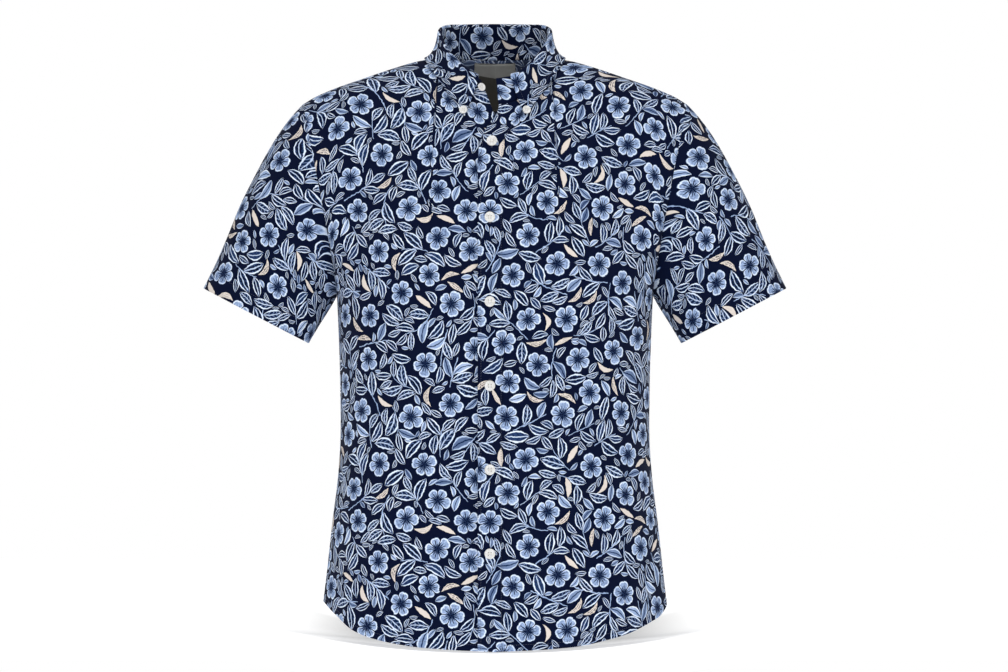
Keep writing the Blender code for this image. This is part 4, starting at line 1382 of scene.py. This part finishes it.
def print_material():
    """The printed cotton. Its inner side shows the same print, duller."""
    constants = {"Sheen_Weight": 0.02, "Sheen_Roughness": 0.5, "Specular_IOR_Level": 0.07}
    made, tree, shader = new_material("printed_cotton", 0.80, **constants)
    place = flat_place(tree)
    wobble = noise(tree, place, WOBBLE_SCALE, 1.0, "Color")
    grain = noise(tree, place, GRAIN_SCALE)
    group = motif_group()
    level, cream = None, None
    for index in range(SLOTS):
        node = tree.nodes.new("ShaderNodeGroup")
        node.node_tree = group
        plug(tree, attribute(tree, MOTIF.format(index), "Vector"), node.inputs["Motif"])
        plug(tree, wobble, node.inputs["Wobble"])
        plug(tree, grain, node.inputs["Grain"])
        one, other = Wire(tree, node.outputs["Level"]), Wire(tree, node.outputs["Cream"])
        level = one if level is None else level.most(one)
        cream = other if cream is None else cream.most(other)
    inside = attribute(tree, INSIDE)
    mottle = noise(tree, place, MOTTLE_SCALE, 3.0)
    level = level * (mottle * 0.24 + 0.88)
    colour = ramp(tree, level, PRINT_COLOURS)
    colour = mixed(tree, "RGBA", cream, colour, linear(*CREAM_COLOUR))
    dull = mixed(tree, "RGBA", INSIDE_SHARE, colour, linear(*INSIDE_COLOUR))
    colour = mixed(tree, "RGBA", inside, colour, dull)
    over = woven_bump(tree, shader, place, WEAVE, WEAVE_DEPTH, mottle * 0.4)
    # Painted shade: the colour is a little darker where the weave's threads dip under; the grain adds the
    # threads' own uneven tone
    thread = over * 0.05 + (grain * 0.10 + 0.93)
    shade = mixed(tree, "RGBA", 1.0, colour, joined(tree, thread, thread, thread), "MULTIPLY")
    plug(tree, shade, shader.inputs["Base Color"])
    plug(tree, grain * 0.12 + 0.74, shader.inputs["Roughness"])
    return made


def thread_material(name, colour):
    """Twisted sewing thread."""
    made, tree, shader = new_material(name, 0.55, Sheen_Weight=0.2)
    x, y, z = split(tree, object_place(tree))
    twist = ((x + y + z) * THREAD_TWIST).math("SINE")
    dark = linear(*(value * THREAD_SHADE for value in colour))
    shade = mixed(tree, "RGBA", twist * 0.5 + 0.5, dark, linear(*colour))
    plug(tree, shade, shader.inputs["Base Color"])
    add_bump(tree, shader, twist, THREAD_TWIST_DEPTH)
    return made


def label_material():
    """A bare woven label, with a finer and denser weave than the shirt's. Its lower part is painted dark as
    shade inside the neck, and its weave is painted a little darker in its hollows.
    """
    made, tree, shader = new_material("woven_label", 0.62, Sheen_Weight=0.25)
    place = flat_place(tree)
    mottle = noise(tree, place, 160.0, 3.0)
    over = woven_bump(tree, shader, place, LABEL_WEAVE, LABEL_WEAVE_DEPTH)
    _, up, _ = split(tree, place)
    # Painted shade: the label is dark below its shade line and its own colour above it, and a little darker
    # where its threads dip
    light = up.step(LABEL_SHADE_TOP - 0.0005, LABEL_SHADE_TOP + 0.0005) * (mottle * 0.3 + 0.8)
    colour = mixed(tree, "RGBA", light + over * 0.02, linear(*LABEL_PAINTED_SHADE_AND_COLOUR[0]), linear(*LABEL_PAINTED_SHADE_AND_COLOUR[1]))
    plug(tree, colour, shader.inputs["Base Color"])
    return made


def button_material():
    """Cream-white resin with a faint swirl, under a clear gloss."""
    made, tree, shader = new_material("button_resin", 0.30, Coat_Weight=0.3, Coat_Roughness=0.15)
    cloud = tree.nodes.new("ShaderNodeTexNoise")
    cloud.inputs["Scale"].default_value = 260.0
    cloud.inputs["Distortion"].default_value = 1.6
    plug(tree, object_place(tree), cloud.inputs["Vector"])
    swirl = Wire(tree, cloud.outputs["Fac"])
    plug(tree, ramp(tree, swirl, BUTTON_COLOURS), shader.inputs["Base Color"])
    plug(tree, swirl * 0.2 + 0.22, shader.inputs["Roughness"])
    return made


# ---------------------------------------------------------------- stitches and buttons


def rows_at(grid, along):
    """The point of each column of a grid that lies a distance up from its first row."""
    walked = np.concatenate([np.zeros((1, grid.shape[1])), steps(grid, 0).cumsum(axis=0)])
    return np.array([
        [np.interp(along, walked[:, j], grid[:, j, axis]) for axis in range(3)]
        for j in range(grid.shape[1])
    ])


def parallel(grid, normals, margin):
    """A line at a margin inside a grid's side edges and its last row, from top to top, and its normals."""
    side, far_side = grid.swapaxes(0, 1), grid.swapaxes(0, 1)[::-1]
    edge = rows_at(grid[::-1], margin)
    corner_row = -1 - int(np.searchsorted(steps(grid[::-1], 0)[:, 0].cumsum(), margin)) - 1
    corner = int(np.searchsorted(steps(grid, 1)[-1].cumsum(), margin)) + 1
    line = np.concatenate([
        rows_at(side, margin)[:corner_row],
        edge[corner:-corner],
        rows_at(far_side, margin)[:corner_row][::-1],
    ])
    facing = np.concatenate([
        normals[:corner_row, corner],
        normals[corner_row, corner:-corner],
        normals[:corner_row, -1 - corner][::-1],
    ])
    return line, facing


def stitches(name, lines, look="thread"):
    """Rows of sunk stitches along lines, each given as (points, normals)."""
    corners, faces = [], []
    for line, normals in lines:
        walked = np.concatenate([[0], np.linalg.norm(np.diff(line, axis=0), axis=1).cumsum()])
        middles = np.arange(STITCH, walked[-1] - STITCH / 2, STITCH)
        here = between(line, walked, middles)
        ahead = between(line, walked, middles + STITCH_LENGTH / 2)
        along = unit(ahead - between(line, walked, middles - STITCH_LENGTH / 2))
        out = unit(between(normals, walked, middles))
        beside = unit(np.cross(along, out))
        for spot in zip(here, along, beside, out):
            add_stitch(corners, faces, *spot)
    piece(name, smooth_mesh(name, corners, faces), look)


def smooth_mesh(name, corners, faces):
    mesh = bpy.data.meshes.new(name)
    mesh.from_pydata(corners, [], faces)
    mesh.shade_smooth()
    return mesh


def turns(count):
    """Evenly spaced angles, once round."""
    return np.arange(count) * 2 * math.pi / count


def add_stitch(corners, faces, middle, along, beside, out):
    """One stitch: a bead with two pointed ends, half sunk in the cloth."""
    first = len(corners)
    corners.append(middle - along * STITCH_LENGTH / 2 - out * THREAD_RADIUS)
    for end in (-STITCH_TAPER, STITCH_TAPER):
        for turn in turns(STITCH_SIDES):
            aside = (beside * math.cos(turn) + out * math.sin(turn)) * THREAD_RADIUS
            corners.append(middle + along * STITCH_LENGTH * end + aside)
    corners.append(middle + along * STITCH_LENGTH / 2 - out * THREAD_RADIUS)
    last = len(corners) - 1
    for side in range(STITCH_SIDES):
        near, far = first + 1 + side, first + 1 + (side + 1) % STITCH_SIDES
        faces.append((first, far, near))
        faces.append((near, far, far + STITCH_SIDES, near + STITCH_SIDES))
        faces.append((last, near + STITCH_SIDES, far + STITCH_SIDES))


def button_mesh(name, size):
    """A round button with a raised rim, a dished middle and four holes, standing on z = 0."""
    radius, height = size
    hole, apart = radius * HOLE_RADIUS, radius * HOLE_APART
    work = bmesh.new()
    rings = [circle(work, (0, 0), out * radius, up * height, BUTTON_SIDES) for out, up in BUTTON_PROFILE]
    for low, high in zip(rings, rings[1:]):
        join_rings(work, low, high)
    holes = [
        circle(work, (x * apart, y * apart), hole, level, HOLE_SIDES)
        for x in (-1, 1)
        for y in (-1, 1)
        for level in (HOLE_TOP * height, 0.0)
    ]
    for top, bottom in zip(holes[::2], holes[1::2]):
        join_rings(work, bottom, top)
    fill(work, rings[-1], holes[::2])
    fill(work, rings[0], holes[1::2])
    mesh = finished(work, name)
    mesh.set_sharp_from_angle(angle=BUTTON_SHARP)
    return mesh


def circle(work, middle, radius, level, sides):
    x, y = middle
    return [
        work.verts.new((x + radius * math.cos(turn), y + radius * math.sin(turn), level))
        for turn in turns(sides)
    ]


def join_rings(work, low, high):
    """Faces between two rings of vertices."""
    for i in range(len(low)):
        j = (i + 1) % len(low)
        work.faces.new((low[i], low[j], high[j], high[i]))


def finished(work, name):
    """The smooth mesh that was worked on, with its faces turned outward."""
    bmesh.ops.recalc_face_normals(work, faces=work.faces)
    mesh = bpy.data.meshes.new(name)
    work.to_mesh(mesh)
    work.free()
    mesh.shade_smooth()
    return mesh


def fill(work, border, holes):
    """A flat face inside a border, with its holes left open."""
    edges = []
    for ring in (border, *holes):
        for i in range(len(ring)):
            pair = (ring[i], ring[(i + 1) % len(ring)])
            edges.append(work.edges.get(pair) or work.edges.new(pair))
    bmesh.ops.triangle_fill(work, use_beauty=True, use_dissolve=False, edges=edges)


def thread_mesh(name, size):
    """The thread through a button's holes: two bars over its dished middle."""
    radius, height = size
    apart = radius * HOLE_APART
    corners, faces = [], []
    for side in (-apart, apart):
        for strand in (-STRAND, STRAND):
            arc = [
                Vector((side + strand, apart * part, height * (STRAND_TOP - STRAND_DROP * part**6)))
                for part in np.linspace(-1, 1, STRAND_STEPS)
            ]
            tube(corners, faces, arc, radius * STRAND_RADIUS)
    return smooth_mesh(name, [tuple(corner) for corner in corners], faces)


def tube(corners, faces, line, radius, sides=STRAND_SIDES):
    """A closed tube along a line."""
    first = len(corners)
    for i, point in enumerate(line):
        along = (line[min(i + 1, len(line) - 1)] - line[max(i - 1, 0)]).normalized()
        beside = along.cross(Vector((1, 0, 0))).normalized()
        other = along.cross(beside)
        for turn in turns(sides):
            corners.append(point + (beside * math.cos(turn) + other * math.sin(turn)) * radius)
    for i in range(len(line) - 1):
        for j in range(sides):
            k = (j + 1) % sides
            low, high = first + i * sides, first + (i + 1) * sides
            faces.append((low + j, high + j, high + k, low + k))
    faces.append(tuple(first + j for j in range(sides)))
    faces.append(tuple(first + (len(line) - 1) * sides + j for j in reversed(range(sides))))


def buttonhole_mesh(name, length, width):
    """A buttonhole: a flat oval ring of close stitches around a slit."""
    work = bmesh.new()
    rings = []
    for grow, up in BUTTONHOLE_PROFILE:
        ring = []
        for number, turn in enumerate(turns(BUTTONHOLE_STEPS)):
            end = (length / 2 - width / 2) * math.copysign(1, math.sin(turn))
            zigzag = 1 + ZIGZAG * (-1) ** number
            x = math.cos(turn) * width / 2 * grow * zigzag
            y = math.sin(turn) * width / 2 * grow * zigzag + end * min(1.0, abs(math.sin(turn)) * 1.8)
            ring.append(work.verts.new((x, y, up)))
        rings.append(ring)
    rings.append([work.verts.new((vert.co.x, vert.co.y, BUTTONHOLE_FOOT)) for vert in rings[0]])
    for low, high in zip([rings[-1], *rings[:-1]], rings):
        join_rings(work, low, high)
    return finished(work, name)


def stand_on(name, mesh, spot, normal, look):
    """A small piece on a spot, facing out along normal, with its top kept upward."""
    z_axis = Vector(normal).normalized()
    x_axis = Vector((0, 0, 1)).cross(z_axis).normalized()
    turn = Matrix((x_axis, z_axis.cross(x_axis), z_axis)).transposed().to_4x4()
    mesh.transform(Matrix.Translation(Vector(spot)) @ turn)
    return piece(name, mesh, look)


def on_grid(grid, row, column):
    """A point between the points of a grid."""
    i, j = int(row), int(column)
    low = grid[i, j] + (grid[i, j + 1] - grid[i, j]) * (column - j)
    high = grid[i + 1, j] + (grid[i + 1, j + 1] - grid[i + 1, j]) * (column - j)
    return low + (high - low) * (row - i)


def sew_on(name, size, spot, normal):
    """A finished button in place of the solid of its name, with its thread."""
    button = stand_on(name + "_dished", button_mesh(name, size), spot, normal, "button")
    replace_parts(button, name)
    stand_on(name + "_thread", thread_mesh(name, size), spot, normal, "button_thread")


def add_placket_buttons():
    """The row of buttons on the placket, each over its buttonhole."""
    across, height = NEXT_BUTTON
    spots = [FIRST_BUTTON, *((across, height - BUTTON_STEP * i) for i in range(BUTTONS_BELOW))]
    for number, (x, z) in enumerate(spots, 1):
        across, row = find(FRONT, x, z, ABOVE_CHEST if z > CHEST else BELOW_CHEST)
        normal = out_from(FRONT, (across, row))
        base = panel(FRONT, across, row) + normal * (CLOTH + LIE_GAP)
        hole = buttonhole_mesh(f"buttonhole_{number}", *BUTTONHOLE)
        stand_on(f"buttonhole_{number}", hole, base, normal, "thread")
        sew_on(f"button_{number}", PLACKET_BUTTON, base + normal * LIE_GAP, normal)


def add_collar_buttons(stand, stand_normals, fall, fall_normals):
    """The stand's own button, and one on each point of the fall."""
    along, up = NECK_BUTTON
    place = (up * STAND_ROWS, (1 - along) * 2 * NECK_COLUMNS)
    normal = unit(on_grid(stand_normals, *place))
    sew_on("button_neck", COLLAR_BUTTON, on_grid(stand, *place) + normal * SHANK, normal)
    last = fall.shape[1] - 1
    column = COLLAR_BUTTON_SPOT[0] * FALL_COLUMNS / CAD_FALL_COLUMNS
    row = fall.shape[0] - 1 - COLLAR_BUTTON_SPOT[1] * FALL_ROWS / CAD_FALL_ROWS
    for name, place in (("button_collar_right", column), ("button_collar_left", last - column)):
        normal = unit(on_grid(fall_normals, row, place))
        sew_on(name, COLLAR_BUTTON, on_grid(fall, row, place) + normal * 2 * LIE_GAP, normal)


# ---------------------------------------------------------------- the shirt


def turned_up(along, width):
    """How far a turned-up hem stands out, given the distances from its edge."""
    return TURN * (1 - ease((along - width) / TURN_STEP + 0.5))


def add_panel(name, grid, normals, shared, creases, flat):
    """A body panel with its creases and hem. Returns its final outer points and their normals."""
    height = crease_height(grid[..., [0, 2]], creases) * edge_fade(flat, ends=True, top=True)
    height = height + hem_waves(flat) * edge_fade(flat, ends=True)
    moved = grid + normals * height[..., None]
    out = normals_of(moved)
    fold = turned_up(flat[..., 1] - flat[:1, ..., 1], HEM_WIDTH)[..., None]
    outer, inner = walls(moved, normals, shared, CLOTH)
    shell(name, outer + out * fold * TURN_OUT, inner - out * fold * TURN_IN, flat + OFFSETS[name])
    return moved, out


def build():
    """Makes every piece of the shirt."""
    fronts = {hand: front_grid(hand) for hand in (RIGHT, LEFT)}
    back = back_grid()
    neck = NECK_COLUMNS
    middle = back.shape[1] // 2
    bases = np.concatenate([
        fronts[RIGHT][-1, :neck],
        back[-1, middle - neck : middle + neck + 1],
        fronts[LEFT][-1, :neck][::-1],
    ])
    stand = stand_grid(bases)
    panels = {"front_right": fronts[RIGHT], "front_left": fronts[LEFT], "back": back}
    sewn = {"sleeve_right": sleeve_grid(RIGHT), "sleeve_left": sleeve_grid(LEFT), "collar_stand": stand}
    grids = panels | sewn
    normals = {name: normals_of(grid, name in CLOSED) for name, grid in grids.items()}
    shared = dict(zip(grids, share_normals(
        [(grid, normals[name]) for name, grid in panels.items()],
        [(grid, normals[name]) for name, grid in sewn.items()],
    )))
    stand[0] += unit(stand[1] - stand[0]) * STAND_LIFT

    chest_row = HEM_ROWS + SKIRT_ROWS
    creases = {"front_right": FRONT_CREASES[RIGHT], "front_left": FRONT_CREASES[LEFT], "back": BACK_CREASES}
    made = {}
    for name in panels:
        flat = flat_map(grids[name], chest_row, middle if name == "back" else 0)
        made[name] = add_panel(name, grids[name], normals[name], shared[name], creases[name], flat)
    for name in CLOSED:
        add_sleeve(name, grids[name], normals[name], shared[name])
    add_stand(stand, normals["collar_stand"], shared["collar_stand"])
    fall, fall_normals = add_fall(stand, normals["collar_stand"])
    add_placket(*made["front_left"], flat_map(grids["front_left"], chest_row, 0))
    add_label(back, normals["back"])
    add_placket_buttons()
    add_collar_buttons(stand, normals["collar_stand"], fall, fall_normals)
    for name, (grid, out) in made.items():
        facing = out[HEM_ROWS // 2]
        line = rows_at(grid, HEM_WIDTH - EDGE_STITCH) + facing * TURN * STITCH_LIFT
        stitches(f"hem_stitches_{name}", [(line, facing)])


def add_sleeve(name, grid, normals, shared):
    """A sleeve: a tube with its creases and a turned-up cuff."""
    around = np.concatenate([grid, grid[:, :1]], axis=1)
    flat = flat_map(around, -1, grid.shape[1] // 2)
    hand = LEFT if name == "sleeve_left" else RIGHT
    height = crease_height(flat * (1, -1), SLEEVE_CREASES) * edge_fade(flat, ends=True, bottom=True)
    moved = grid + normals * height[:, :-1, None]
    out = normals_of(moved, closed=True)
    fold = turned_up(flat[-1:, ..., 1] - flat[..., 1], CUFF_WIDTH)[:, :-1, None]
    outer, inner = walls(moved, normals, shared, CLOTH, closed=True)
    outer = outer + out * fold * TURN_OUT
    shell(name, outer, inner - out * fold * TURN_IN, flat * (hand, 1) + OFFSETS[name], closed=True)
    line = rows_at(np.concatenate([outer, outer[:, :1]], axis=1)[::-1], CUFF_WIDTH - EDGE_STITCH)
    facing = np.concatenate([out[-1], out[-1, :1]])
    stitches(f"cuff_stitches_{name}", [(line, facing)])


def add_stand(grid, normals, shared):
    """The collar stand."""
    flat = flat_map(grid, 0, grid.shape[1] // 2)
    outer, inner = walls(grid, normals, shared, COLLAR_CLOTH)
    shell("collar_stand", outer, inner, flat + OFFSETS["collar_stand"], both=True)


def add_fall(stand, stand_normals):
    """The turned-down collar, with its row of edge stitches."""
    grid, normals = fall_grid(stand, stand_normals)
    flat = flat_map(grid, grid.shape[0] - 1, grid.shape[1] // 2)
    shift = drawn_in(grid, normals, False)
    outer, inner = grid + shift, grid - normals * COLLAR_CLOTH + shift
    shell("collar_fall", outer, inner, flat + OFFSETS["collar_fall"], both=True)
    free = np.s_[ROLL_STEPS + 2 :]
    stitches("collar_stitches", [parallel(outer[free], normals[free], COLLAR_STITCH)])
    return grid, normals


def add_placket(front, normals, flat):
    """The strip along the left front's free edge, stitched down both its sides."""
    strip = np.s_[:, : PLACKET_COLUMNS + 1]
    shift = drawn_in(front[strip], normals[strip], False)
    near = front[strip] + normals[strip] * (LIE_GAP + TURN * TURN_OUT) + shift
    outer = near + normals[strip] * CLOTH
    shell("placket", outer, near, flat[strip] + OFFSETS["front_left"], both=True)
    lines = []
    for column, inwards, times in ((0, 1, FREE_EDGE), (PLACKET_COLUMNS, PLACKET_COLUMNS - 1, 1)):
        aside = unit(outer[:, inwards] - outer[:, column]) * EDGE_STITCH
        lines.append((outer[:, column] + aside * times, normals[:, column]))
    stitches("placket_stitches", lines)


def add_label(back, normals):
    """The bare label inside the back neck, with stitches along its edges."""
    middle = back.shape[1] // 2
    half = int(LABEL_HALF_WIDTH / steps(back[-1:], 1)[0, middle])
    low = int(LABEL_HEIGHT / steps(back, 0)[-1, middle])
    part = np.s_[-1 - low :, middle - half : middle + half + 1]
    grid = back[part].copy()
    grid[-1] += unit(grid[-2] - grid[-1]) * LABEL_DROP
    out = -normals[part]
    near = grid + out * (CLOTH + 2 * LIE_GAP) + drawn_in(grid, out, False)
    flat = flat_map(near, 0, half)
    face = near + out * LABEL_CLOTH
    shell("neck_label", face, near, flat, look="label")
    # The label's grid runs up to the neckline, and its stitches run round its lower end
    stitches("label_stitches", [parallel(face[::-1], out[::-1], LABEL_STITCH)], "label_thread")


# ---------------------------------------------------------------- studio


def add_area(name, spot, target, size, power):
    """A soft square light that faces a point."""
    light = bpy.data.lights.new(name, "AREA")
    light.shape = "SQUARE"
    light.size = size
    light.energy = power
    lamp = bpy.data.objects.new(name, light)
    lamp.location = spot
    lamp.rotation_euler = (Vector(target) - Vector(spot)).to_track_quat("-Z", "Y").to_euler()
    bpy.context.scene.collection.objects.link(lamp)


def add_floor():
    """A white floor, a little dished to the sides. Its own glow is painted light: it keeps the floor white
    except in a painted shadow region under and behind the shirt, where only the floor's real shading shows.
    """
    across = np.linspace(-FLOOR_SIDE, FLOOR_SIDE, FLOOR_STEPS + 1)
    heights = FLOOR_HEIGHT + np.minimum(FLOOR_BEND * across**2, FLOOR_RISE)
    corners = [(x, y, z) for x, z in zip(across, heights) for y in (FLOOR_FRONT, FLOOR_BACK)]
    faces = [(2 * n, 2 * n + 2, 2 * n + 3, 2 * n + 1) for n in range(FLOOR_STEPS)]
    mesh = bpy.data.meshes.new("floor")
    mesh.from_pydata(corners, [], faces)
    made, tree, shader = new_material("floor", 0.9)
    shader.inputs["Base Color"].default_value = FLOOR_WHITE
    shader.inputs["Emission Color"].default_value = WHITE
    x, y, _ = split(tree, object_place(tree))
    # Painted light and shadow: the glow's share is 0 in a region under and behind the shirt and rises to 1
    # away from it
    away = abs(x).step(*GLOW_SIDES).most((y * -1).step(*GLOW_FRONT)).most(y.step(*GLOW_BACK))
    plug(tree, away * FLOOR_GLOW, shader.inputs["Emission Strength"])
    mesh.materials.append(made)
    floor = bpy.data.objects.new("floor", mesh)
    bpy.context.scene.collection.objects.link(floor)


def add_studio():
    """A white floor, soft light and a white world."""
    bpy.context.scene.view_settings.view_transform = "Standard"
    add_floor()

    world = bpy.data.worlds.new("studio")
    world.use_nodes = True
    tree = world.node_tree
    tree.nodes["Background"].inputs[0].default_value = WHITE
    seen = Wire(tree, tree.nodes.new("ShaderNodeLightPath").outputs["Is Camera Ray"])
    plug(tree, seen.between(WORLD_LIGHT, 1.0), tree.nodes["Background"].inputs[1])
    bpy.context.scene.world = world
    for light in LIGHTS:
        add_area(*light)


def add_camera():
    """A level camera straight in front, far enough away that the sides show no perspective."""
    width = IMAGE_SIZE[0] * METRES_PER_PIXEL
    data = bpy.data.cameras.new("camera")
    data.sensor_width = SENSOR
    data.lens = SENSOR * CAMERA_DISTANCE / width
    data.clip_end = CAMERA_DISTANCE * 5
    camera = bpy.data.objects.new("camera", data)
    camera.location = (CAMERA_MIDDLE[0], -CAMERA_DISTANCE, CAMERA_MIDDLE[1])
    camera.rotation_euler = (math.pi / 2, 0, 0)
    bpy.context.scene.collection.objects.link(camera)
    bpy.context.scene.camera = camera


MATERIALS = {
    "print": print_material(),
    "thread": thread_material("navy_thread", NAVY_THREAD),
    "label": label_material(),
    "label_thread": thread_material("label_thread", LABEL_THREAD),
    "button": button_material(),
    "button_thread": thread_material("button_thread", BUTTON_THREAD),
}
LAYOUT = print_layout()
add_camera()
build()
add_studio()
